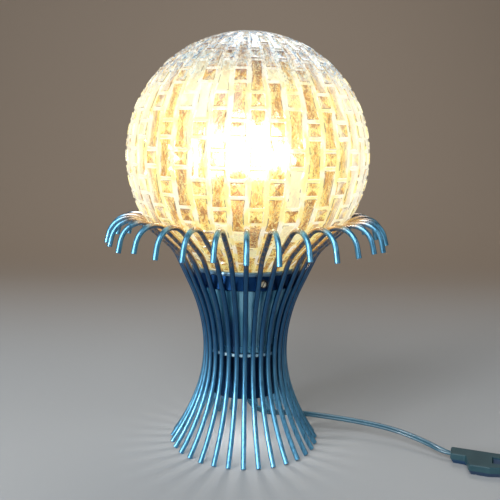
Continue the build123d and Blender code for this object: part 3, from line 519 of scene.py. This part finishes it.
def strip_point(run, column, across):
    """A point of the outside: its place, the values that its finish reads, and its mapping."""
    (radius, height), (out_radius, out_height) = outline_at(run)
    along = run - EQUATOR + (REPEAT / 2 if column else 0)
    repeats = floor(along / REPEAT + 0.5)
    along -= REPEAT * repeats
    place, depth, pattern = relief(across, along)
    brick = 2 * repeats + copysign(pattern[3], along)  # each has its number, down the column
    if run < CROWN:  # a petal spans both columns, and its end is round
        place = across / LINES
        over_petal = abs((2 * column - 1 + place) / 2)
        joint = smooth((over_petal - PETAL_FALLS) / (1 - PETAL_FALLS))
        pattern, brick = (joint, over_petal, 0.0, 1.0), NO_BRICK
        depth = PETAL_DEPTH * joint * min(1.0, run / CROWN * JOINT_OPENS)
        depth += PETAL_HOLLOW * (1 - over_petal) * smooth(run / CROWN * HOLLOW_OPENS)
    if run > BRICKS_END:
        place, depth, pattern = across / LINES, JOINT_DEPTH, (0.0, 0.0, 0.0, 1.0)
    depth *= min(1.0, 2 * radius / GLOBE_RADIUS) ** FLATTENS
    angle = half_column * (2 * column + 1 + place)
    radius, height = radius - out_radius * depth, height - out_height * depth
    uv = column + place / 2, run / REPEAT
    return (radius * sin(angle), -radius * cos(angle), height), (*pattern, brick), uv


print("column of", round(360 / COLUMNS, 2), "degrees")

# %% The points of one strip
INSIDE = -1.0  # the joint value that marks the smooth inner wall
across_lines = [(0, line) for line in range(-LINES, LINES)]
across_lines += [(1, line) for line in range(-LINES, LINES + 1)]
strip_points, strip_patterns, strip_uvs = [], [], []
for run in outer_runs:
    for column, line in across_lines:
        place, pattern, uv = strip_point(run, column, line)
        strip_points.append(place)
        strip_patterns.append(pattern)
        strip_uvs.append(uv)
for run in inner_runs:
    (radius, height), (out_radius, out_height) = outline_at(run)
    radius, height = max(0.0, radius - out_radius * GLOBE_WALL), height - out_height * GLOBE_WALL
    for column, line in across_lines:
        angle = half_column * (2 * column + 1 + line / LINES)
        strip_points.append((radius * sin(angle), -radius * cos(angle), height))
        strip_patterns.append((INSIDE, 0.0, 0.0, 0.0, 0.0))
        strip_uvs.append((column + line / LINES / 2, run / REPEAT))
print(len(strip_points), "points")

# %% One strip of two columns
deselect()
wide, deep = len(across_lines), len(outer_runs) + len(inner_runs)
bpy.ops.mesh.primitive_grid_add(x_subdivisions=wide - 1, y_subdivisions=deep - 1, size=1)
strip = bpy.context.object
assert len(strip.data.vertices) == len(strip_points)
for vertex, place in zip(strip.data.vertices, strip_points):
    vertex.co = place
for name, values in zip(("joint", "across", "along", "tall", "brick"), zip(*strip_patterns)):
    strip.data.attributes.new(name, "FLOAT", "POINT").data.foreach_set("value", values)
for loop, mapped in zip(strip.data.loops, strip.data.uv_layers.active.data):
    mapped.uv = strip_uvs[loop.vertex_index]
print("strip", wide, "by", deep, "points")

# %% [markdown]
# Twenty-two strips make the globe.  Merging the points that two neighbours share closes the
# seams, and the apex with them.

# %% Copy the strip around and merge
MERGE_DISTANCE = 0.00002
GLASS_CREASE = radians(24)
strips = [strip]
for number in range(1, COLUMNS // 2):
    another = strip.copy()
    another.data = strip.data.copy()
    bpy.context.scene.collection.objects.link(another)
    another.data.transform(Matrix.Rotation(4 * half_column * number, 4, "Z"))
    for mapped in another.data.uv_layers.active.data:
        mapped.uv.x += 2 * number
    strips.append(another)
only(strip)
for piece in strips:
    piece.select_set(True)
bpy.ops.object.join()
glass_globe = only(bpy.context.object)
glass_globe.name = glass_globe.data.name = "glass_globe"
bpy.ops.object.mode_set(mode="EDIT")
bpy.ops.mesh.select_all(action="SELECT")
bpy.ops.mesh.remove_doubles(threshold=MERGE_DISTANCE)
bpy.ops.mesh.normals_make_consistent(inside=False)
bpy.ops.object.mode_set(mode="OBJECT")
bpy.ops.object.shade_smooth_by_angle(angle=GLASS_CREASE)
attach(glass_globe, "globe")
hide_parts("globe")
loose = sum(1 for edge in glass_globe.data.edges if edge.is_loose)
print("globe", len(glass_globe.data.polygons), "faces", loose, "loose edges")


# %% [markdown]
# ## Screw washers
# A dark rubber ring keeps each gallery screw's head off the lacquer.  A torus has its shape, and
# is set on the gallery's wall, turned to face outwards.

# %% Washers
GALLERY_WALL_RADIUS = 0.0508
WASHER_RADIUS, WASHER_ROUND = 0.0034, 0.0006
for number in (1, 2, 3):
    low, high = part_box(f"gallery_screw_{number}")
    head = (low + high) / 2
    outward = Vector((head.x, head.y, 0)).normalized()
    deselect()
    bpy.ops.mesh.primitive_torus_add(
        location=outward * (GALLERY_WALL_RADIUS + WASHER_ROUND / 2) + Vector((0, 0, head.z)),
        rotation=outward.to_track_quat("Z", "Y").to_euler(),
        major_radius=WASHER_RADIUS, minor_radius=WASHER_ROUND, major_segments=40, minor_segments=12,
    )
    washer = bpy.context.object
    washer.name = washer.data.name = f"screw_washer_{number}"
    bpy.ops.object.transform_apply()
    bpy.ops.object.shade_smooth()
    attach(washer, "root")
print("washers round the screws")

# %% [markdown]
# ## A small language for finishes
# A finish is a tree of nodes.  Wired by hand it soon hides what it says, so two small classes
# let it be written as sums: a Signal wraps one socket and turns arithmetic into Math nodes, and
# a Finish makes any other node in one call.


# %% Signals
class Signal:
    """One output of a finish's tree, which Python's arithmetic works on."""

    def __init__(self, finish, socket):
        self.finish, self.socket = finish, socket

    def __add__(self, other):
        return self.finish.maths("ADD", self, other)

    def __sub__(self, other):
        return self.finish.maths("SUBTRACT", self, other)

    def __rsub__(self, other):
        return self.finish.maths("SUBTRACT", other, self)

    def __mul__(self, other):
        return self.finish.maths("MULTIPLY", self, other)

    __radd__, __rmul__ = __add__, __mul__


print("signals ready")


# %% Finishes
class Finish:
    """A material and the tree of nodes that makes it."""

    def __init__(self, name):
        self.material = bpy.data.materials.new(name)
        self.material.use_nodes = True
        self.tree = self.material.node_tree
        self.tree.nodes.clear()

    def node(self, kind, settings=None, inputs=None, output=0):
        """Adds a node: its type, its settings, the values or links of its sockets."""
        node = self.tree.nodes.new(kind)
        for name, value in (settings or {}).items():
            if name == "stops":
                while len(node.color_ramp.elements) < len(value):
                    node.color_ramp.elements.new(1.0)
                for stop, (position, colour) in zip(node.color_ramp.elements, value):
                    stop.position, stop.color = position, (*colour, 1)
            else:
                setattr(node, name, value)
        for name, value in (inputs or {}).items():
            socket = node.inputs[name]
            if isinstance(value, Signal):
                self.tree.links.new(value.socket, socket)
            elif isinstance(value, tuple) and socket.type == "RGBA":
                socket.default_value = (*value, 1)
            else:
                socket.default_value = value
        return Signal(self, node.outputs[output]) if node.outputs else None

    def maths(self, operation, *values):
        """A Math node on one, two or three values."""
        return self.node("ShaderNodeMath", {"operation": operation}, dict(enumerate(values)))

    def mix(self, share, first, second, blend="MIX"):
        """Two colours mixed by a share."""
        settings = {"data_type": "RGBA", "blend_type": blend}
        return self.node("ShaderNodeMix", settings, {0: share, 6: first, 7: second}, 2)

    def span(self, value, low, high, first=0.0, last=1.0):
        """Value from low to high becomes first to last, eased, and stays between them."""
        return self.node("ShaderNodeMapRange", {"interpolation_type": "SMOOTHSTEP"},
                         {0: value, 1: low, 2: high, 3: first, 4: last})

    def ramp(self, value, *stops):
        """A colour that follows a value through stops of position and colour."""
        return self.node("ShaderNodeValToRGB", {"stops": stops}, {0: value})

    def stretch(self, vector, scale):
        return self.node("ShaderNodeVectorMath", {"operation": "MULTIPLY"}, {0: vector, 1: scale})

    def part(self, vector, axis):
        """The x, y or z of a vector, for an axis of 0, 1 or 2."""
        return self.node("ShaderNodeSeparateXYZ", inputs={0: vector}, output=axis)

    def place(self, scale=(1, 1, 1)):
        """Object coordinates, stretched."""
        return self.stretch(self.node("ShaderNodeTexCoord", output="Object"), scale)

    def height(self):
        """The height above the floor, in metres."""
        return self.part(self.node("ShaderNodeTexCoord", output="Object"), 2)

    def from_axis(self):
        """The distance from the lamp's upright axis, in metres."""
        flat = self.place((1, 1, 0))
        return self.node("ShaderNodeVectorMath", {"operation": "LENGTH"}, {0: flat}, "Value")

    def noise(self, scale, detail=3.0, where=None, roughness=0.5, swirl=0.0):
        """A cloud pattern from 0 to 1, scale to the metre."""
        inputs = {"Vector": where or self.place(), "Scale": scale, "Detail": detail,
                  "Roughness": roughness, "Distortion": swirl}
        return self.node("ShaderNodeTexNoise", inputs=inputs)

    def veins(self, cloud, level, width):
        """Thin lines, 1 at their middle, where a cloud pattern passes a level."""
        return self.span(self.maths("ABSOLUTE", cloud - level), 0.0, width, 1.0, 0.0)

    def read(self, name):
        """A value that the mesh carries at its points."""
        return self.node("ShaderNodeAttribute", {"attribute_name": name}, output="Fac")

    def bump(self, height, distance, strength=1.0):
        """A normal that follows a height from 0 to 1, which stands for a distance in metres."""
        inputs = {"Height": height, "Distance": distance, "Strength": strength}
        return self.node("ShaderNodeBump", inputs=inputs)

    def surface(self, **sockets):
        """A Principled surface with the given sockets, their spaces as underscores."""
        inputs = {name.replace("_", " "): value for name, value in sockets.items()}
        return self.node("ShaderNodeBsdfPrincipled", inputs=inputs)

    def done(self, shader):
        """The finished material, with this shader on its surface."""
        self.node("ShaderNodeOutputMaterial", inputs={"Surface": shader})
        return self.material


def dress(material, *names):
    """Gives nodes or pieces one material."""
    for name in names:
        piece = bpy.data.objects[name]
        piece.data.materials.clear()
        piece.data.materials.append(material)


print("finishes ready")

# %% [markdown]
# ## The rods' finish
# The rods are steel under a metallic blue lacquer, a hard gloss with long soft streaks from
# drawing the wire.  Its colour is painted darker along the shaft, a painted shade, and lighter
# on the curls and the feet, a painted light.  Beside the hot glass warm glints are painted all
# round, and on its top faces the colour is painted a warm steel, a painted highlight of the
# glass's light; there the surface is also more metallic and smoother, so it mirrors the warm light.

# %% Metallic blue lacquer
rod = Finish("rod_lacquer")
streaks = rod.noise(700, 2, rod.place((1, 1, 0.04)))
clouds = rod.noise(60, 4)
painted_glint_noise = rod.noise(500, 3, rod.place((1, 1, 0.12)), 0.6)
tall_up = rod.height() + clouds * 0.02
from_axis = rod.from_axis()
faces_up = rod.part(rod.node("ShaderNodeTexCoord", output="Normal"), 2)
shaded_shaft = rod.span(tall_up, 0.045, 0.135) * rod.span(from_axis, 0.100, 0.118, 1.0, 0.0)
before_curl = rod.span(from_axis, 0.104, 0.120, 1.0, 0.0)
# On top faces beside the glass a warm steel colour is painted, a painted highlight of the glass's light;
# these faces are also more metallic and smoother.
painted_lit_top = rod.span(tall_up, 0.172, 0.200) * before_curl * rod.span(faces_up, -0.35, 0.25)
near_glass = rod.span(tall_up, 0.186, 0.200) * before_curl
# The shaft is painted dark navy, a painted shade, and the curls and feet a lighter blue, a painted light.
blue = rod.mix(shaded_shaft, (0.13, 0.41, 0.63), (0.012, 0.10, 0.23))
blue = rod.mix(rod.span(streaks, 0.45, 0.70, 0.0, 0.5), blue, (0.006, 0.05, 0.14))
# Warm glints are painted beside the glass, painted highlights of its light.
blue = rod.mix(near_glass * rod.span(painted_glint_noise, 0.46, 0.56, 0.15, 0.8), blue, (0.34, 0.22, 0.11))
rod_lacquer = rod.done(rod.surface(
    Base_Color=rod.mix(painted_lit_top, blue, (0.66, 0.50, 0.38)),
    Metallic=0.82 + 0.15 * rod.maths("MAXIMUM", shaded_shaft, painted_lit_top),
    Roughness=0.28 + 0.12 * clouds - 0.14 * painted_lit_top, Coat_Weight=0.6, Coat_Roughness=0.1,
    Normal=rod.bump(streaks, 0.00002),
))
rod_pairs = [name for name in nodes if name.startswith("rod_pair")]
dress(rod_lacquer, *rod_pairs)
print(len(rod_pairs), "pairs of rods lacquered")


# %% [markdown]
# ## Lacquers, metals and plastics
# The smaller parts share one recipe: a base colour that drifts a little, roughness from the
# same clouds, and a fine bump.  Only the numbers differ.


# %% One recipe for the plain finishes
def plain_finish(name, colour, drift, roughness, metallic=0.0, coat=0.0, grain_depth=0.00004):
    """A colour that drifts to another in soft clouds, under a fine grain."""
    finish = Finish(name)
    clouds = finish.noise(35, 4)
    fine = finish.noise(400, 2)
    tone = finish.mix(finish.span(clouds, 0.3, 0.7), colour, drift)
    return finish.done(finish.surface(
        Base_Color=tone, Metallic=metallic, Roughness=roughness + 0.15 * (clouds - 0.5),
        Coat_Weight=coat, Coat_Roughness=0.1, Normal=finish.bump(fine, grain_depth),
    ))


print("recipe ready")

# %% Lacquers and metals
dress(plain_finish("gallery_navy", (0.004, 0.038, 0.13), (0.006, 0.055, 0.18), 0.4, 0.85), "gallery")
dress(plain_finish("rim_grey_blue", (0.09, 0.20, 0.34), (0.18, 0.34, 0.50), 0.3, 0.6, 0.3),
      "gallery_rim")
dress(plain_finish("turned_metal", (0.60, 0.84, 0.95), (0.42, 0.68, 0.82), 0.25, 0.7), "waist_plate")
# The lower skirt is dressed near-black navy: a dark sheet set below the waist where the cage shows shade, a
# painted shade.
dress(plain_finish("skirt_painted_shade", (0.003, 0.024, 0.07), (0.006, 0.036, 0.10), 0.4, 0.8), "lower_skirt")
dress(plain_finish("zinc_steel", (0.55, 0.56, 0.58), (0.45, 0.46, 0.50), 0.35, 1.0),
      "threaded_tube", "bottom_nut", "gallery_nut", "holder_nut", "switch_pivot", "switch_screws")
dress(plain_finish("contact_brass", (0.72, 0.52, 0.22), (0.60, 0.42, 0.18), 0.3, 1.0),
      "holder_contacts", "bulb_contact", "switch_contacts")
dress(plain_finish("cap_aluminium", (0.66, 0.66, 0.68), (0.55, 0.55, 0.58), 0.3, 1.0), "bulb_cap")
dress(plain_finish("pin_nickel", (0.72, 0.72, 0.70), (0.62, 0.62, 0.62), 0.2, 1.0), "plug_pins")
print(len(bpy.data.materials), "materials")

# %% Plastics and porcelain
dress(plain_finish("holder_brown", (0.035, 0.022, 0.015), (0.05, 0.03, 0.02), 0.35),
      "holder_cap", "holder_shell", "holder_ring")
dress(plain_finish("white_porcelain", (0.80, 0.79, 0.74), (0.74, 0.72, 0.66), 0.2, coat=0.4),
      "holder_insert")
dress(plain_finish("lead_red", (0.40, 0.05, 0.03), (0.32, 0.04, 0.03), 0.4), "leads")
dress(plain_finish("cord_teal", (0.020, 0.085, 0.13), (0.034, 0.12, 0.175), 0.28, coat=0.5),
      "cord_lamp", "cord_plug", "strain_relief", "plug_body")
dress(plain_finish("tie_black", (0.02, 0.022, 0.025), (0.03, 0.032, 0.035), 0.6),
      "coil_tie", "screw_washer_1", "screw_washer_2", "screw_washer_3")
CASE_GRAIN = 0.0001  # the switch's case is coarser than the other plastics
dress(plain_finish("switch_navy", (0.004, 0.028, 0.075), (0.008, 0.04, 0.10), 0.4,
                   coat=0.15, grain_depth=CASE_GRAIN), "switch_base", "switch_rocker", "switch_cord_clamps")
dress(plain_finish("switch_green", (0.012, 0.048, 0.062), (0.020, 0.066, 0.084), 0.35,
                   coat=0.15, grain_depth=CASE_GRAIN), "switch_cover")
print(len(bpy.data.materials), "materials")

# %% [markdown]
# The gallery screws have cream heads.  Their slots and the sides of the heads are painted dark,
# a painted shade, so the colour follows the distance from the lamp's axis: cream on the outer
# face and painted shade below it.

# %% The gallery screws
SLOT_SHADE, FACE_CREAM = 0.0524, 0.0529  # distances from the axis
screw = Finish("screw_cream")
on_face = screw.span(screw.from_axis(), SLOT_SHADE, FACE_CREAM)
# Painted shade in the slots and round the sides of the heads.
screw_tone = screw.mix(on_face, (0.05, 0.035, 0.02), (1.0, 0.90, 0.68))
dress(screw.done(screw.surface(Base_Color=screw_tone, Roughness=0.35)),
      "gallery_screw_1", "gallery_screw_2", "gallery_screw_3")
print("screws cream")

# %% [markdown]
# The sleeve is spun from bright sheet.  Upright bands of light and dark are painted in it,
# painted reflections; noise that is stretched upright gives the bands, and the bump follows them.

# %% The sleeve
sleeve = Finish("sleeve_blue")
painted_reflection_bands = sleeve.noise(75, 2, sleeve.place((1, 1, 0.03)))
# Painted reflections: light and dark upright bands.
sleeve_tone = sleeve.ramp(
    painted_reflection_bands, (0.34, (0.03, 0.10, 0.24)), (0.42, (0.06, 0.24, 0.40)),
    (0.52, (0.11, 0.38, 0.55)), (0.60, (0.30, 0.66, 0.85)),
)
dress(sleeve.done(sleeve.surface(
    Base_Color=sleeve_tone, Metallic=0.55, Roughness=0.25, Coat_Weight=0.2, Coat_Roughness=0.1,
    Normal=sleeve.bump(painted_reflection_bands, 0.0002),
)), "sleeve", "sleeve_collar")
print("sleeve banded")

# %% [markdown]
# ## The glowing glass
# Light from the bulb reaches the eye in two ways: straight through the glass, blurred and bent
# by the relief, and scattered in it, which makes the joints shine cream and the bricks amber.
# The first is left to the shader's transmission, and the second is given as a soft emission
# that follows the relief.

# %% What the relief says
glass = Finish("pressed_glass")
joint, across, along, tall = [glass.read(name) for name in ("joint", "across", "along", "tall")]
in_joint = glass.span(joint, 0.12, 0.60)
outside = glass.span(joint, -0.6, -0.1)
# Side facets of the square bricks get a little more of the painted glow and their top and bottom facets a
# little less, and the middle of a tall brick a little less: painted light and shade.
facet = (1 - tall) * glass.span(across - along, -0.25, 0.25, -0.1, 0.1)
hollow = tall * glass.span(across, 0.2, 0.8, 0.08, 0.0)
high = glass.height()
beside_bulb = glass.span(high, 0.235, 0.285) * glass.span(high, 0.325, 0.360, 1.0, 0.0)
edge_on = glass.node("ShaderNodeLayerWeight", inputs={"Blend": 0.5}, output="Facing")
columns = glass.node("ShaderNodeTexCoord", output="UV")  # x counts columns, y counts repeats down
column_number = glass.maths("FLOOR", glass.part(columns, 0) + 0.5)
brick_number = glass.maths("FLOOR", glass.read("brick") + 0.5)
each_brick = glass.node("ShaderNodeCombineXYZ", inputs={0: column_number, 1: brick_number})
shade = glass.node("ShaderNodeTexWhiteNoise", inputs={"Vector": each_brick})
print("relief read")

# %% [markdown]
# Pressed glass isn't even.  Clouds of several sizes tell thicker glass from thinner, thin veins
# are painted bright and dark lines, light and shade bent by the waves of its surface, fine dark
# lines beside the joints are painted shade, and each brick's own random tone comes in too.

# %% How uneven the glass is
waves = glass.noise(300, 4, glass.place((1, 1, 0.4)), 0.6, 0.8)
patches = glass.noise(75, 3, glass.place((1, 1, 0.6)))
ripples = glass.noise(420, 3, glass.place((1, 1, 0.3)), 0.6, 1.0)
rays = glass.noise(1.0, 4, glass.stretch(columns, (1.6, 2.2, 1)), 0.65, 0.6)
specks = glass.noise(330, 2, glass.place((1, 1, 0.7)), 0.5, 0.4)
body = 0.6 * patches + 0.4 * waves + facet - hollow + 0.05 * beside_bulb + 0.14 * (shade - 0.55)
painted_bright_wave, painted_dark_wave = glass.veins(waves, 0.53, 0.045), glass.veins(ripples, 0.42, 0.05)
painted_edge_shade = glass.veins(joint, 0.35, 0.3) * glass.span(glass.noise(110, 1), 0.51, 0.55)
print("glass uneven")

# %% [markdown]
# Below, near the bulb, the bricks are amber and gold with cream joints.  Towards the crown little
# of the bulb's light arrives, and the glass is grey-tan with painted blue-white glints, painted
# reflections.  Where the glass is seen edge on, it is painted white, a painted glow for the light
# it gathers from inside.

# %% The glass near the bulb and at the crown
amber = glass.ramp(
    body, (0.30, (0.36, 0.15, 0.04)), (0.42, (0.62, 0.29, 0.06)),
    (0.52, (0.90, 0.54, 0.11)), (0.62, (1.0, 0.84, 0.26)),
)
# Painted light and shade: bright and dark veins in the glow.
amber = glass.mix(0.8 * painted_bright_wave, amber, (1.0, 0.88, 0.36))
amber = glass.mix(0.75 * painted_dark_wave, amber, (0.20, 0.09, 0.03))
# Some whole bricks are painted near-white, a painted glare.
amber = glass.mix(glass.span(shade, 0.80, 0.88, 0.0, 0.7), amber, (1.0, 0.96, 0.60))
crown = glass.ramp(
    body, (0.36, (0.14, 0.11, 0.09)), (0.46, (0.32, 0.22, 0.15)),
    (0.56, (0.44, 0.32, 0.22)), (0.66, (0.60, 0.66, 0.72)),
)
# Painted blue-white glints in the crown, painted reflections.
crown = glass.mix(0.8 * painted_bright_wave, crown, (0.62, 0.84, 1.0))
crown = glass.mix(0.75 * painted_dark_wave, crown, (0.04, 0.12, 0.24))
cream = glass.mix(glass.span(patches, 0.42, 0.58), (1.0, 0.94, 0.72), (1.0, 0.84, 0.34))
# The crown's joints are painted from grey to white-blue, painted glints.
pale = glass.mix(glass.span(waves, 0.42, 0.56), (0.34, 0.36, 0.40), (0.95, 0.97, 1.0))
near_crown = glass.span(high + 0.05 * patches, 0.345, 0.395)
glow = glass.mix(near_crown, glass.mix(in_joint, amber, cream), glass.mix(in_joint, crown, pale))
print("glass coloured")

# %% Its edges, and how brightly it is lit
# Painted glints: blue, white and warm specks for the edge-on glass towards the crown.
painted_crown_glints = glass.ramp(
    0.45 * rays + 0.55 * specks, (0.40, (0.01, 0.08, 0.24)), (0.44, (0.10, 0.42, 0.78)),
    (0.47, (0.55, 0.82, 0.98)), (0.51, (0.92, 0.95, 0.96)), (0.55, (0.30, 0.27, 0.25)),
    (0.60, (0.86, 0.72, 0.52)),
)
white_edge = glass.mix(glass.span(high + 0.04 * patches, 0.335, 0.375), (1.0, 0.97, 0.80), painted_crown_glints)
# A painted white glow where the glass is seen edge on, below the crown; towards the crown it takes the
# painted glints.
seen_edge = glass.span(edge_on, 0.30, 0.66, 0.0, 0.92) * glass.span(high, 0.205, 0.25)
glow = glass.mix(seen_edge, glow, white_edge)
# Painted shade: fine dark lines beside the joints.
glow = glass.mix(0.95 * painted_edge_shade, glow, (0.12, 0.11, 0.10))
lit = glass.span(high, 0.375, 0.33, 0.86, 1.05) * glass.span(high, 0.16, 0.25, 0.62, 1.0)
lit = lit + 0.12 * beside_bulb
print("glass lit")

# %% [markdown]
# The glowing shader and a clear one are mixed.  The inner wall is left clear, so the light isn't
# added twice, and beside the bulb the outside is a little clearer too.  The bulb itself glows
# all over, most strongly in its upper part.

# %% Glowing and clear together
glowing = glass.surface(
    Base_Color=glass.mix(0.8, amber, (0.0, 0.0, 0.0)), Roughness=0.10, Coat_Weight=0.6, Coat_Roughness=0.04,
    Emission_Color=glass.mix(1.0, glow, lit, "MULTIPLY"), Emission_Strength=1.0,
    Normal=glass.bump(waves, 0.0012, 0.6),
)
clear = glass.surface(
    Base_Color=(1.0, 0.985, 0.95), Roughness=0.20, IOR=1.45, Transmission_Weight=1.0,
    Normal=glass.bump(waves, 0.0012, 0.5),
)
cloudy = outside * (0.88 - 0.10 * beside_bulb)
shine = glass.node("ShaderNodeMixShader", inputs={0: cloudy, 1: clear, 2: glowing})
dress(glass.done(shine), "glass_globe")
print("globe dressed")

# %% The lit bulb
bulb = Finish("lit_bulb")
bulb_glow = bulb.mix(bulb.span(bulb.height(), 0.255, 0.280), (0.07, 0.035, 0.014), (1.0, 0.86, 0.62))
dress(bulb.done(bulb.surface(
    Base_Color=(0.9, 0.88, 0.84), Roughness=0.4, Emission_Color=bulb_glow, Emission_Strength=75.0,
)), "bulb_glass")
print("bulb lit")

# %% [markdown]
# ## Floor, backdrop and lamps
# The floor is pale and the wall behind it a warm grey, one sheet that curves up far behind the
# lamp.  Far off on the lamp's front side the floor lies in the dark, so there the camera sees a
# plain pale tone in its place.  Large soft lamps keep the shadows faint.  One small lamp hangs in
# the foot of the cage, for the light that falls through it and draws the rods on the floor.

# %% The sheet
FLOOR_HALF, WALL_BEHIND, WALL_HIGH, SHEET_BEND = 4.0, 1.6, 4.0, 0.8
BEND_STEPS = 12
PALE = (0.30, 0.28, 0.26)  # what the camera sees past the sheet
sheet_line = [(-FLOOR_HALF, 0), (WALL_BEHIND - SHEET_BEND, 0)]
for step in range(1, BEND_STEPS + 1):
    turn = pi / 2 * step / BEND_STEPS
    sheet_line.append((WALL_BEHIND - SHEET_BEND + SHEET_BEND * sin(turn), SHEET_BEND * (1 - cos(turn))))
sheet_line.append((WALL_BEHIND, WALL_HIGH))
sheet_points = [(x, y, z) for y, z in sheet_line for x in (-FLOOR_HALF, FLOOR_HALF)]
sheet_faces = [(2 * i, 2 * i + 1, 2 * i + 3, 2 * i + 2) for i in range(len(sheet_line) - 1)]
sheet = new_mesh("studio_sheet", sheet_points, sheet_faces)
for face in sheet.data.polygons:
    face.use_smooth = True
print("sheet of", len(sheet.data.polygons), "faces")

# %% Its paper
paper = Finish("studio_paper")
away = paper.part(paper.place(), 1)  # from the lamp to the wall
tone = paper.mix(paper.span(away, 0.1, 1.0), (0.37, 0.38, 0.39), (0.27, 0.21, 0.16))
far_off = paper.span(paper.from_axis(), 0.9, 1.9) * paper.span(away, 0.6, 0.0)
seen_far = far_off * paper.node("ShaderNodeLightPath", output="Is Camera Ray")
plain_tone = paper.node("ShaderNodeEmission", inputs={"Color": PALE})
lit_paper = paper.surface(Base_Color=tone, Roughness=0.8)
paper_shader = paper.node("ShaderNodeMixShader", inputs={0: seen_far, 1: lit_paper, 2: plain_tone})
dress(paper.done(paper_shader), "studio_sheet")
print("paper laid")


# %% Lamps
def new_lamp(name, kind, place, power, colour):
    """A lamp at its place, not yet aimed."""
    data = bpy.data.lights.new(name, kind)
    data.energy, data.color = power, colour
    lamp = bpy.data.objects.new(name, data)
    bpy.context.scene.collection.objects.link(lamp)
    lamp.location = place
    return lamp


def soft_lamp(name, place, aim, size, power, colour):
    """A square lamp that looks at a place."""
    lamp = new_lamp(name, "AREA", place, power, colour)
    lamp.data.size = size
    lamp.rotation_euler = (Vector(aim) - Vector(place)).to_track_quat("-Z", "Y").to_euler()


soft_lamp("key", (-0.8, -1.3, 1.3), (0, 0, 0.2), 1.8, 44, (0.93, 0.97, 1.0))
soft_lamp("side", (-0.9, -0.8, 0.25), (0, 0, 0.1), 0.22, 7, (0.93, 0.97, 1.0))
soft_lamp("fill", (1.4, -0.8, 1.0), (0, 0, 0.2), 1.0, 4, (0.9, 0.96, 1.0))
soft_lamp("back", (0.3, 1.1, 1.7), (0, 0, 0.2), 1.0, 10, (1.0, 0.97, 0.92))
falling = new_lamp("falling", "POINT", (0, 0, 0.052), 0.2, (1.0, 0.96, 0.90))
falling.data.shadow_soft_size = 0.006
print(len(bpy.data.lights), "lamps")

# %% [markdown]
# All round there is a faint grey light.  The camera, though, sees the same pale tone as at the
# end of the floor, so a view from any side has a plain ground.

# %% The surroundings
world = bpy.data.worlds.new("world")
bpy.context.scene.world = world
world.use_nodes = True
sky = world.node_tree
dim = sky.nodes["Background"]
dim.inputs["Color"].default_value = (0.42, 0.43, 0.46, 1)
dim.inputs["Strength"].default_value = 0.08
pale = sky.nodes.new("ShaderNodeBackground")
pale.inputs["Color"].default_value = (*PALE, 1)
seen = sky.nodes.new("ShaderNodeMixShader")
sky.links.new(sky.nodes.new("ShaderNodeLightPath").outputs["Is Camera Ray"], seen.inputs[0])
sky.links.new(dim.outputs[0], seen.inputs[1])
sky.links.new(pale.outputs[0], seen.inputs[2])
sky.links.new(seen.outputs[0], sky.nodes["World Output"].inputs["Surface"])
print("surroundings ready")

# %% The end
bpy.context.view_layer.update()
